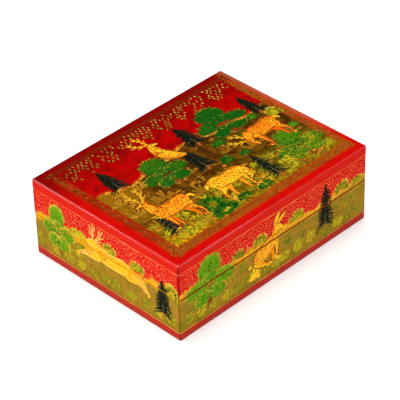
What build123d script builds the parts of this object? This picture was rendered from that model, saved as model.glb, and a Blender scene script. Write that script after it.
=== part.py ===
from build123d import *
import os
from math import cos, radians, sin

# A hinged, painted box: two shallow trays of thin boards, each wrapped in a papier mache skin and lined
# with paper, joined at the back by two small brass butt hinges. Millimetres, +Z up, +X along the long
# side, front face at -Y. The origin is the centre of the base's underside.

# ---- driving dimensions -------------------------------------------------------------------------------
box_length = 175.0  # outside, along X
box_depth = 133.5  # outside, along Y, without the hinge knuckles
base_height = 32.1  # underside to the base's rim
lid_height = 27.5  # lid's rim to its top
seam_gap = 0.4  # between the two rims when the box is shut
lid_shift = 0.35  # the lid sits this far towards -X, proud of the base's left end

wall_board = 5.0  # thickness of every wall board
floor_board = 5.0
top_board = 5.0
skin = 1.2  # papier mache on the sides and the top
underside_sheet = 1.0
rim_turn = 0.6  # skin turned in over the rims
lining = 0.5

front_corner_radius = 1.2  # upright edges, outside
back_corner_radius = 1.2
top_edge_radius = 1.5
foot_edge_radius = 1.0
rim_edge_radius = 0.3
rim_wear_length = 14.0  # the base's rim is rubbed down at the left end, towards the back corner
rim_wear_depth = 0.5

hinge_spacing = 104.0  # centre to centre
hinge_length = 25.0
knuckle_count = 5
knuckle_gap = 0.2  # between two knuckles, along the pin
leaf_thickness = 0.8
leaf_edge_margin = 0.7  # board left between the leaf's free edge and the inside
pin_radius = 0.95
pin_clearance = 0.05  # radial, in the knuckles
pin_head_radius = 1.5
pin_head_thickness = 0.5
pin_inset = 0.8  # the pin's axis lies this far inside the back face
knuckle_clearance = 0.35  # round the knuckles, in walls and leaves
leaf_clearance = 0.1  # round a leaf in its recess
opening_angle = 105.0  # the bevelled back rims meet here
bevel_clearance = 0.15  # left at each bevel when they meet

nails_per_leaf = 3
nail_pitch = 8.0
nail_radius = 0.55
nail_length = 6.0
nail_head_radius = 1.05
nail_head_depth = 0.5

brad_radius = 0.6
brad_head_radius = 1.2
brad_head_thickness = 0.5
brad_grip = 9.0  # depth in the board behind the one it is driven through
brad_from_end = 6.0  # from a tray's rim side or closed side to a corner brad
brad_pitch_x = 56.0  # along the front and back walls
brad_pitch_y = 44.0  # along the end walls
fastener_clearance = 0.02  # radial, round nail and brad shanks and heads

# ---- values that follow -------------------------------------------------------------------------------
seam_bottom = base_height
seam_top = base_height + seam_gap
box_height = seam_top + lid_height
pin_y = box_depth / 2 - pin_inset
pin_z = base_height + seam_gap / 2
hinge_centres = (-hinge_spacing / 2, hinge_spacing / 2)
knuckle_radius = pin_radius + pin_clearance + leaf_thickness
knuckle_length = (hinge_length - knuckle_gap * (knuckle_count - 1)) / knuckle_count
leaf_width = skin + wall_board - pin_inset - leaf_edge_margin  # from the pin's axis
nail_from_pin = (knuckle_radius + knuckle_clearance + leaf_width) / 2
core_half_x = box_length / 2 - skin
core_half_y = box_depth / 2 - skin
inner_half_x = core_half_x - wall_board
inner_half_y = core_half_y - wall_board
cut_margin = 5.0  # how far a cutting solid runs past what it cuts

# A tray is described by the heights of its layers, from its closed side to its rim.
BASE = {
    "shift": 0.0,
    "closed_face": 0.0,
    "board_face": underside_sheet,
    "inner_face": underside_sheet + floor_board,
    "wall_end": base_height - rim_turn,
    "rim": base_height,
}
LID = {
    "shift": -lid_shift,
    "closed_face": box_height,
    "board_face": box_height - skin,
    "inner_face": box_height - skin - top_board,
    "wall_end": seam_top + rim_turn,
    "rim": seam_top,
}


def slab(x_low, x_high, y_low, y_high, z_one, z_two):
    """A box between two corners, with its two heights in either order."""
    z_low, z_high = min(z_one, z_two), max(z_one, z_two)
    size = (x_high - x_low, y_high - y_low, z_high - z_low)
    return Pos((x_low + x_high) / 2, (y_low + y_high) / 2, (z_low + z_high) / 2) * Box(*size)


def rounded_block(tray, inset, z_one, z_two):
    """The box's outline moved inwards by an inset, with its upright edges rounded."""
    half_x, half_y = box_length / 2 - inset, box_depth / 2 - inset
    block = slab(-half_x, half_x, -half_y, half_y, z_one, z_two)
    for side, radius in ((-1, front_corner_radius - inset), (1, back_corner_radius - inset)):
        if radius > 0:
            uprights = [e for e in block.edges().filter_by(Axis.Z) if e.center().Y * side > 0]
            block = fillet(uprights, radius)
    return Pos(tray["shift"], 0, 0) * block


def rounded_face(block, highest, radius):
    """The same block with the edge round its highest or lowest face rounded."""
    face = block.faces().sort_by(Axis.Z)[-1 if highest else 0]
    return fillet(face.edges(), radius)


def tray_core(tray):
    """Everything that the skin covers, as one solid: it trims the boards' outer edges."""
    return rounded_block(tray, skin, tray["board_face"], tray["wall_end"])


def wall_boards(tray):
    """Front and back boards run the full length, and the end boards stand between them."""
    shift, low, high = tray["shift"], tray["inner_face"], tray["wall_end"]
    core = tray_core(tray)
    long_x, long_y = core_half_x, inner_half_y
    boards = {
        "front_board": slab(shift - long_x, shift + long_x, -core_half_y, -long_y, low, high),
        "back_board": slab(shift - long_x, shift + long_x, long_y, core_half_y, low, high),
        "left_board": slab(shift - core_half_x, shift - inner_half_x, -long_y, long_y, low, high),
        "right_board": slab(shift + inner_half_x, shift + core_half_x, -long_y, long_y, low, high),
    }
    return {name: board & core for name, board in boards.items()}


def closing_board(tray):
    """The floor of the base, or the top of the lid, planted on the ends of the four walls."""
    return rounded_block(tray, skin, tray["board_face"], tray["inner_face"])


def wall_lining(tray):
    """One strip of paper round the four inner faces."""
    shift, low, high = tray["shift"], tray["inner_face"], tray["wall_end"]
    outer = slab(shift - inner_half_x, shift + inner_half_x, -inner_half_y, inner_half_y, low, high)
    return outer - tray_hollow(tray, low, high)


def tray_hollow(tray, z_one, z_two):
    """The space inside the wall linings."""
    half_x, half_y, shift = inner_half_x - lining, inner_half_y - lining, tray["shift"]
    return slab(shift - half_x, shift + half_x, -half_y, half_y, z_one, z_two)


def sheet_lining(tray):
    """The paper on the floor of the base, or under the top of the lid."""
    towards_rim = 1 if tray["rim"] > tray["closed_face"] else -1
    return tray_hollow(tray, tray["inner_face"], tray["inner_face"] + towards_rim * lining)


def base_skin_solid():
    """Papier mache round the four walls, open below and turned in over the rim."""
    outer = rounded_block(BASE, 0, BASE["closed_face"], BASE["rim"])
    outer = rounded_face(outer, False, min(foot_edge_radius, 0.9 * skin))
    outer = rounded_face(outer, True, rim_edge_radius)
    filled = rounded_block(BASE, skin, BASE["closed_face"], BASE["wall_end"])
    return outer - filled - tray_hollow(BASE, BASE["wall_end"], BASE["rim"]) - worn_rim()


def worn_rim():
    """A long thin wedge at the back end of the base's left rim, no deeper than the turned-in skin."""
    back, depth = box_depth / 2, min(rim_wear_depth, 0.9 * rim_turn)
    outline = [
        (back - rim_wear_length, seam_bottom),
        (back + cut_margin, seam_bottom - depth * (1 + cut_margin / rim_wear_length)),
        (back + cut_margin, seam_bottom + cut_margin),
        (back - rim_wear_length, seam_bottom + cut_margin),
    ]
    section = Plane.YZ * make_face(Polyline(*outline, close=True))
    return Pos(-core_half_x, 0, 0) * extrude(section, -cut_margin)


def lid_skin_solid():
    """Papier mache over the top and the four walls, turned in over the rim."""
    outer = rounded_block(LID, 0, LID["rim"], LID["closed_face"])
    outer = rounded_face(outer, True, top_edge_radius)
    outer = rounded_face(outer, False, rim_edge_radius)
    return outer - tray_core(LID) - tray_hollow(LID, LID["wall_end"], LID["rim"])


def underside_solid():
    """The sheet that closes the base below, inside the skin's foot."""
    return rounded_block(BASE, skin, BASE["closed_face"], BASE["board_face"])


# ---- fasteners ----------------------------------------------------------------------------------------
def turned(radii_and_heights, place):
    """A solid of stacked discs or cones along local +Z, moved to a place."""
    parts = []
    height = 0.0
    for low_radius, high_radius, thickness in radii_and_heights:
        align = (Align.CENTER, Align.CENTER, Align.MIN)
        if low_radius == high_radius:
            piece = Cylinder(low_radius, thickness, align=align)
        else:
            piece = Cone(low_radius, high_radius, thickness, align=align)
        parts.append(Pos(0, 0, height) * piece)
        height += thickness
    solid = parts[0]
    for piece in parts[1:]:
        solid += piece
    return place * solid


def brad(place, board, grow=0.0):
    """A flat-headed brad: its head lies flush in the board that it is driven through."""
    shank = board + brad_grip - brad_head_thickness + grow
    profile = [
        (brad_head_radius + grow, brad_head_radius + grow, brad_head_thickness),
        (brad_radius + grow, brad_radius + grow, shank),
    ]
    return turned(profile, place)


def brad_places(tray):
    """Where the brads go in: place, with local +Z along the shank, and the board it passes."""
    shift = tray["shift"]
    inwards = 1 if tray["rim"] > tray["closed_face"] else -1
    down = Rot(0, 0, 0) if inwards > 0 else Rot(180, 0, 0)
    closing = floor_board if inwards > 0 else top_board
    middle_x, middle_y = core_half_x - wall_board / 2, core_half_y - wall_board / 2
    corner_x = core_half_x - max(wall_board / 2, back_corner_radius - skin + brad_head_radius)
    places = []
    for side in (-1, 1):
        for step in (-1, 0, 1):
            spot = Pos(shift + step * brad_pitch_x, side * middle_y, tray["board_face"])
            places.append((spot * down, closing))
        for step in (-0.5, 0.5):
            spot = Pos(shift + side * middle_x, step * brad_pitch_y, tray["board_face"])
            places.append((spot * down, closing))
    heights = (tray["inner_face"] + inwards * brad_from_end, tray["wall_end"] - inwards * brad_from_end)
    for end in (-1, 1):
        for z in heights:
            front = Pos(shift + end * corner_x, -core_half_y, z) * Rot(-90, 0, 0)
            back = Pos(shift + end * corner_x, core_half_y, z) * Rot(90, 0, 0)
            places.append((front, wall_board))
            places.append((back, wall_board))
    return places


def nail(place, grow=0.0):
    """A countersunk nail: its head fills the countersink and ends flush with the leaf."""
    profile = [
        (nail_head_radius + grow, nail_radius + grow, nail_head_depth),
        (nail_radius + grow, nail_radius + grow, nail_length - nail_head_depth + grow),
    ]
    return turned(profile, place)


def nail_places(up):
    """Nails of both hinges on one tray, with local +Z into the rim."""
    rim = LID["rim"] if up else BASE["rim"]
    turn = Rot(0, 0, 0) if up else Rot(180, 0, 0)
    first = -(nails_per_leaf - 1) / 2
    return [
        Pos(centre + (first + i) * nail_pitch, pin_y - nail_from_pin, rim) * turn
        for centre in hinge_centres
        for i in range(nails_per_leaf)
    ]


# ---- hinges -------------------------------------------------------------------------------------------
def along_pin(radius, x_low, x_high):
    """A round bar on the pin's axis."""
    bar = Rot(0, 90, 0) * Cylinder(radius, x_high - x_low)
    return Pos((x_low + x_high) / 2, pin_y, pin_z) * bar


def knuckle_spans(centre, of_lid):
    """The stretches of the pin that one leaf's knuckles hold: the base has the outer ones."""
    start = centre - hinge_length / 2
    step = knuckle_length + knuckle_gap
    wanted = range(1 if of_lid else 0, knuckle_count, 2)
    return [(start + i * step, start + i * step + knuckle_length) for i in wanted]


def leaf(centre, of_lid):
    """A leaf: a plate let into the rim, with rolled knuckles and countersunk nail holes."""
    z_low = pin_z + seam_gap / 2 if of_lid else pin_z - seam_gap / 2 - leaf_thickness
    z_high = z_low + leaf_thickness
    low, high = centre - hinge_length / 2, centre + hinge_length / 2
    front = pin_y - leaf_width
    solid = slab(low, high, front, pin_y - knuckle_radius - knuckle_clearance, z_low, z_high)
    for x_low, x_high in knuckle_spans(centre, of_lid):
        arm = slab(x_low, x_high, front, pin_y, z_low, z_high)
        solid += arm + along_pin(knuckle_radius, x_low, x_high)
    solid -= along_pin(pin_radius + pin_clearance, low - cut_margin, high + cut_margin)
    for place in nail_places(of_lid):
        solid -= nail(place, fastener_clearance)
    return solid


def hinge_pin(centre):
    """A pin peened over at both ends."""
    low, high = centre - hinge_length / 2, centre + hinge_length / 2
    solid = along_pin(pin_radius, low, high)
    solid += along_pin(pin_head_radius, low - pin_head_thickness, low)
    solid += along_pin(pin_head_radius, high, high + pin_head_thickness)
    return solid


def hinge_recess(of_lid):
    """What both hinges need out of one tray: the leaf's bed, and room round the knuckles."""
    cut = None
    for centre in hinge_centres:
        half = hinge_length / 2 + leaf_clearance
        front = pin_y - leaf_width - leaf_clearance
        if of_lid:
            bed = slab(centre - half, centre + half, front, pin_y, pin_z, seam_top + leaf_thickness)
        else:
            bed = slab(centre - half, centre + half, front, pin_y, pin_z, seam_bottom - leaf_thickness)
        room = hinge_length / 2 + pin_head_thickness + knuckle_clearance
        bed += along_pin(knuckle_radius + knuckle_clearance, centre - room, centre + room)
        cut = bed if cut is None else cut + bed
    return cut


def rim_bevel(of_lid):
    """The wedge that is taken off a back rim: the two bevels meet when the lid stands open."""
    half_angle = radians(opening_angle / 2)
    reach = pin_inset + cut_margin
    sign = 1 if of_lid else -1
    start_y = -bevel_clearance * sin(half_angle)
    start_z = -bevel_clearance * cos(half_angle)
    end_y, end_z = start_y + reach * cos(half_angle), start_z - reach * sin(half_angle)
    outline = [
        (start_y, -sign * start_z),
        (end_y, -sign * end_z),
        (end_y, -sign * cut_margin),
        (start_y, -sign * cut_margin),
    ]
    section = Plane.YZ * make_face(Polyline(*outline, close=True))
    return Pos(0, pin_y, pin_z) * extrude(section, box_length / 2 + cut_margin, both=True)


# ---- the two trays ------------------------------------------------------------------------------------
def without(solid, cutters):
    """A solid less every cutter that reaches it."""
    for cutter in cutters:
        solid -= cutter
    return solid


def tray_nodes(prefix, tray, of_lid, skin_solid):
    """Every fixed piece of one tray, by node name."""
    places = brad_places(tray)
    holes = [brad(place, board, fastener_clearance) for place, board in places]
    nail_holes = [nail(place, fastener_clearance) for place in nail_places(of_lid)]
    recess = hinge_recess(of_lid)
    nodes = {}
    for name, board in wall_boards(tray).items():
        board = without(board, holes)
        if name == "back_board":
            board = without(board, [recess] + nail_holes)
        nodes[prefix + name] = board
    closing_name = prefix + ("top_board" if of_lid else "floor_board")
    nodes[closing_name] = without(closing_board(tray), holes)
    nodes[prefix + "brads"] = Compound(children=[brad(place, board) for place, board in places])
    nodes[prefix + "skin"] = without(skin_solid, [recess, rim_bevel(of_lid)] + nail_holes)
    nodes[prefix + "wall_lining"] = wall_lining(tray)
    nodes[prefix + ("top_lining" if of_lid else "floor_lining")] = sheet_lining(tray)
    nodes[prefix + "hinge_nails"] = Compound(children=[nail(place) for place in nail_places(of_lid)])
    return nodes


def hinge_nodes():
    """Two leaves and a pin for each hinge."""
    nodes = {}
    for side, centre in zip(("left", "right"), hinge_centres):
        nodes[side + "_hinge_base_leaf"] = leaf(centre, False)
        nodes[side + "_hinge_lid_leaf"] = leaf(centre, True)
        nodes[side + "_hinge_pin"] = hinge_pin(centre)
    return nodes


def all_nodes():
    """The whole box, by node name."""
    nodes = tray_nodes("base_", BASE, False, base_skin_solid())
    nodes["base_underside_sheet"] = underside_solid()
    nodes.update(tray_nodes("lid_", LID, True, lid_skin_solid()))
    nodes.update(hinge_nodes())
    return nodes


os.makedirs("parts", exist_ok=True)
for node_name, shape in all_nodes().items():
    export_step(shape, "parts/" + node_name + ".step")
print(f"box {box_length} x {box_depth} x {box_height} mm, pin axis at y {pin_y}, z {pin_z}")
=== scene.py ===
"""A small hinged box of thin boards wrapped in papier mache, painted by hand with a forest and its deer in
the way of the Kashmir valley, and lacquered.

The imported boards, skins, linings, brads and hinges are the frame. Materials on the two skins give the
painted grounds: the red sky, the hills and the bands. Every tree, animal, leaf, dot and line is a low
raised shape of paint that lies on the skin and rides on the lid or the base. Figures that cross the seam
are cut where the two trays part.
"""

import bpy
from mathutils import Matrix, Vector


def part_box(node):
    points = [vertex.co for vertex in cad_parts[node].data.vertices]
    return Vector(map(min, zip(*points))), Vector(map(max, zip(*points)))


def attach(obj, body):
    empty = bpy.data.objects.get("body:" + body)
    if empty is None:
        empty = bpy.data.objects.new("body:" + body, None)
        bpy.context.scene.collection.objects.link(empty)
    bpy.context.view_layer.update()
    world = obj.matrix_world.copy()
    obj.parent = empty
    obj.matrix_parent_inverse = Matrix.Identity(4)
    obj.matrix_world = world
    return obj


bl_info = {
    "name": "Painted papier mache box",
    "version": (1, 0, 0),
    "blender": (4, 5, 0),
    "location": "3D View > Sidebar > Painted Box",
    "description": "Paints, lacquers and lights a hinged papier mache box",
    "category": "Object",
}

from functools import partialmethod, reduce

import bpy
import numpy as np
from bpy.props import FloatProperty, FloatVectorProperty, PointerProperty
from mathutils import Matrix, Vector

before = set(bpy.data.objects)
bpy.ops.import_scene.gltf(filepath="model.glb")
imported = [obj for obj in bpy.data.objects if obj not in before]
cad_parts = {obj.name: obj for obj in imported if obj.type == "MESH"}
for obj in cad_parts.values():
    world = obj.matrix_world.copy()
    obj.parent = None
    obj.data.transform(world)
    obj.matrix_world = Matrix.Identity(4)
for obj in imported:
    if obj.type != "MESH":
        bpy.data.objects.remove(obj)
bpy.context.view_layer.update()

MM = 0.001
SKINS = {body: [np.array(corner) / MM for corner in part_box(body + "_skin")] for body in ("base", "lid")}
LOW, HIGH = SKINS["lid"]
RIMS = {"base": SKINS["base"][1][2], "lid": LOW[2]}
SEAM = (RIMS["base"] + RIMS["lid"]) / 2
TOP = HIGH[2]
MIDDLE_X, HALF_X, HALF_Y = (LOW[0] + HIGH[0]) / 2, (HIGH[0] - LOW[0]) / 2, HIGH[1]
SIDES = ("front", "right", "back", "left")
UNEVEN = {  # how much wider than usual the red band and the border on the top were painted along each edge
    "front": (0.8, 1.0), "right": (-1.0, -1.2), "back": (-0.6, -0.8), "left": (1.0, 0.8),
}


# ---- sizes and colours --------------------------------------------------------------------------------
def colour(name, code, description):
    """A colour, given by its six-digit sRGB code."""
    share = np.array([int(code[i : i + 2], 16) for i in (0, 2, 4)]) / 255
    linear = np.where(share <= 0.04045, share / 12.92, ((share + 0.055) / 1.055) ** 2.4).tolist()
    return FloatVectorProperty(
        name=name, description=description, subtype="COLOR", size=3, min=0, max=1, default=linear
    )


def measure(name, value, description, unit, **limits):
    return FloatProperty(name=name, description=description, default=value, unit=unit, **limits)


def length(name, millimetres, description):
    return measure(name, millimetres * MM, description, "LENGTH", min=0, subtype="DISTANCE")


def angle(name, degrees, description):
    return measure(name, np.radians(degrees), description, "ROTATION", subtype="ANGLE")


class BoxGrounds(bpy.types.PropertyGroup):
    """Colours of the grounds that are laid on first."""

    vermilion: colour("Vermilion", "BE0804", "Bands round the lid and the edge of the top")
    bright_red: colour("Bright red", "C61A0C", "Sky on the sides")
    sky_red: colour("Sky red", "A80302", "Sky on the top")
    deep_red: colour("Deep red", "680302", "Shaded parts of the sky and the back band")
    # painted reflection: a pale sheen laid into the colour along the right edge of the top, standing for
    # reflected light
    painted_sheen: colour("Painted sheen", "F0A090", "Painted pale reflection along the right edge of the top")
    maroon: colour("Maroon", "7A0A03", "Border at the back and the ends of the top")
    border_red: colour("Border red", "A02204", "Border at the left of the top")
    border_brown: colour("Border brown", "9A4A0C", "Border at the front of the top")
    hill_brown: colour("Hill brown", "462A03", "Darker hills on the top")
    hill_ochre: colour("Hill ochre", "6E4207", "Lighter hills on the top")
    grass_green: colour("Grass green", "786C0A", "Ground at the front of the top")
    side_ochre: colour("Side ochre", "9A721A", "Ground on the sides")
    side_olive: colour("Side olive", "6A6414", "Shaded ground on the sides")
    crest_gold: colour("Crest gold", "E6A40C", "Skyline of the hills on the sides")
    foot_red: colour("Foot red", "A82C20", "Band round the foot")
    # used for worn spots, chips and rubbed rims, and also for painted shade along the foot and a painted dark
    # reflection down the upright corners
    wear_and_shade_brown: colour("Wear and shade brown", "2A0A03", "Rubbed seams and chips, and painted shade at the foot and the corners")


PAINTS = {  # from the lowest to the highest: name, dark end, light end, use
    "speck": ("Specks", "F07848", "F49F6A", "Fine specks on the red sides"),
    "vine": ("Border leaves", "5A1C06", "A8641A", "Leaves of the border"),
    "shade": ("Hill shade", "2E1C04", "6A4A0A", "Dark leaves behind the fronds"),
    "frond": ("Fronds", "6A3A08", "DC9A20", "Gold fronds on the hills"),
    "grass": ("Grass", "5A600A", "CCB818", "Tufts and blades"),
    "trunk": ("Trunks", "6A2A0C", "B8602C", "Trunks and feet of trees"),
    "leaf": ("Leaves", "0A540A", "74A208", "Broad-leaved trees and bushes"),
    "dab": ("Leaf dabs", "064606", "6A9A0C", "Dabs over the leaves"),
    "rim": ("Leaf edges", "6A7A10", "E0B838", "Fine lines round leaves"),
    "fir": ("Firs", "030C05", "0E2010", "Boughs of the firs"),
    "glint": ("Fir glints", "0E2416", "9A7450", "Lines over the boughs"),
    "fur": ("Fur", "D85A08", "F4BC20", "Deer and hares"),
    "drawing": ("Drawing", "4A1003", "A8380A", "Lines and spots on fur"),
    "cream": ("Cream", "9A6A1C", "F0BC58", "Hanging leaves, and lines on the leaping stag"),
    "gilt": ("Gilding", "D06020", "F09A54", "Gold lines round the box"),
}


class BoxPaints(bpy.types.PropertyGroup):
    """Two ends of the mix that each kind of brush stroke is drawn from."""

    __annotations__ = {
        f"{paint}_{end}": colour(f"{label}, {end}", code, use)
        for paint, (label, dark, light, use) in PAINTS.items()
        for end, code in (("dark", dark), ("light", light))
    }


class BoxSizes(bpy.types.PropertyGroup):
    """Where the bands and the borders run, and how thick the paint lies."""

    edge_band: length("Edge band", 5.6, "Width of the red band round the top")
    border: length("Border", 6.4, "Width of the leafy border inside the red band")
    upper_line: length("Upper line", 52.7, "Height of the gold line round the lid")
    foot_line: length("Foot line", 6.2, "Height of the gold line round the base")
    skyline: length("Skyline", 37.0, "Height of the hills on the sides")
    horizon: length("Horizon", 17.5, "How far behind the middle of the top the sky begins")
    speck_pitch: length("Speck pitch", 1.9, "Distance between two specks on the red sides")
    paint_step: length("Paint step", 0.009, "How much higher each kind of paint lies than the one before")


class BoxStudio(bpy.types.PropertyGroup):
    """Lights, floor and camera."""

    overhead: measure("Overhead light", 23, "Power of the soft light above", "POWER", min=0)
    frontal: measure("Front light", 25, "Power of the soft light by the camera", "POWER", min=0)
    far_side: measure("Far light", 9, "Power of the soft light behind the box", "POWER", min=0)
    lens: measure("Lens", 180, "Focal length in millimetres for a 36 mm sensor", "CAMERA", min=10)
    distance: measure("Camera distance", 1.314509, "From camera to the middle of the box", "LENGTH", min=0.1)
    azimuth: angle("Azimuth", -44.642, "Turn of the camera from the front")
    elevation: angle("Elevation", 36.618, "Height angle of the camera")
    roll: angle("Roll", -1.419, "Turn of the camera about its own line of sight")
    floor: measure("Floor", 8, "Width of the floor", "LENGTH", min=1)


# ---- materials ----------------------------------------------------------------------------------------
class Number:
    """A number that comes out of a node. Sums on it add Math nodes."""

    def __init__(self, finish, socket):
        self.finish, self.socket = finish, socket

    def math(self, operation, *others):
        return self.finish.node("Math", {"operation": operation}, (self, *others))

    __add__ = __radd__ = partialmethod(math, "ADD")
    __mul__ = __rmul__ = partialmethod(math, "MULTIPLY")
    __sub__, __truediv__ = partialmethod(math, "SUBTRACT"), partialmethod(math, "DIVIDE")
    lower, higher = partialmethod(math, "MINIMUM"), partialmethod(math, "MAXIMUM")
    __abs__, wave = partialmethod(math, "ABSOLUTE"), partialmethod(math, "SINE")

    def __rsub__(self, other):
        return self.finish.node("Math", {"operation": "SUBTRACT"}, (other, self))

    def rise(self, start, end):
        """0 on the start side, 1 on the end side, and a smooth step between."""
        return self.finish.node("MapRange", {"interpolation_type": "SMOOTHSTEP"}, [self, start, end])


class Finish:
    """One material made of nodes. Lengths in it are millimetres on the object at rest."""

    def __init__(self, name, constants=()):
        self.material = bpy.data.materials.new(name)
        self.material.use_nodes = True
        self.tree = self.material.node_tree
        self.shader = self.tree.nodes["Principled BSDF"]
        for socket, value in dict(constants).items():
            self.shader.inputs[socket].default_value = value
        self.place = self.node("TexCoord", output="Object")

    def feed(self, socket, value):
        if isinstance(value, Number):
            self.tree.links.new(value.socket, socket)
        else:
            socket.default_value = (*value, 1.0) if socket.type == "RGBA" else value

    def node(self, kind, settings=(), sockets=(), output=0):
        """Adds a node of a kind: its settings, then its sockets' values or links. Gives one of its
        outputs."""
        made = self.tree.nodes.new("ShaderNode" + kind)
        for key, value in dict(settings).items():
            setattr(made, key, value)
        for key, value in sockets.items() if isinstance(sockets, dict) else enumerate(sockets):
            self.feed(made.inputs[key], value)
        return Number(self, made.outputs[output])

    def along(self):
        """x, y and z in millimetres."""
        split = self.node("SeparateXYZ", sockets=[self.place]).socket.node
        return [Number(self, axis) * (1 / MM) for axis in split.outputs]

    def noise(self, size, detail=3.0, stretch=(1, 1, 1), shift=0.0):
        """Soft noise about 0.5, with patches of about this many millimetres."""
        shifted = {"Vector": self.place, "Location": (shift,) * 3, "Scale": stretch}
        moved = self.node("Mapping", sockets=shifted)
        made = {"Vector": moved, "Scale": 1 / (size * MM), "Detail": detail, "Roughness": 0.55}
        return self.node("TexNoise", sockets=made)

    def over(self, base, *layers):
        """A colour with others laid over it in turn, each by its share."""
        for tone, share in layers:
            base = self.node("Mix", {"data_type": "RGBA"}, {0: share, 6: base, 7: tone}, output=2)
        return base

    def dress(self, tone, roughness, height=None, strength=0.5):
        """Colours and polishes the surface, and tilts it as if it were raised by this height in
        millimetres."""
        worn = {"Base Color": tone, "Roughness": roughness}
        if height is not None:
            raised = {"Strength": strength, "Distance": MM, "Height": height}
            worn["Normal"] = self.node("Bump", sockets=raised)
        for socket, value in worn.items():
            self.feed(self.shader.inputs[socket], value)
        return self

    def give(self, *nodes):
        """Puts the material on CAD nodes."""
        for name in nodes:
            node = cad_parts[name]
            node.data.materials.clear()
            node.data.materials.append(self.material)


LACQUER = {"Specular IOR Level": 0.0, "Coat Roughness": 0.08, "Coat IOR": 1.5}


def top_hills(x, sine):
    """Lines of three ridges on the top, from the far one to the near one: each is a sum of two waves."""
    return (
        3.0 * sine(x / 15 + 1.2) + 1.6 * sine(x / 6.1 + 0.4),
        -14 + 4.5 * sine(x / 19 + 2.1) + 1.6 * sine(x / 7.3 + 1.0),
        -33 + 4.0 * sine(x / 14 + 4.0) + 1.4 * sine(x / 5.3 + 2.0),
    )


def margins(sizes, side):
    """Widths of the red band and of the border along one edge of the top, in millimetres."""
    return sizes.edge_band / MM + UNEVEN[side][0], sizes.border / MM + UNEVEN[side][1]


def varnish(f, x, y, z):
    """Coats of lacquer: thick where it pools round the edges of the top, thinner over the top and down
    the sides."""
    pooled = z.rise(TOP - 1.7, TOP - 1.0) * (HALF_X - abs(x - MIDDLE_X)).lower(HALF_Y - abs(y)).rise(2.0, 1.0)
    pooled = pooled * (1 - y.rise(-62, -65) * x.rise(-50, 0) * 0.8)
    f.feed(f.shader.inputs["Coat Weight"], 0.07 + z.rise(TOP - 1.5, TOP - 0.5) * 0.03 + pooled * 0.9)


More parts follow.
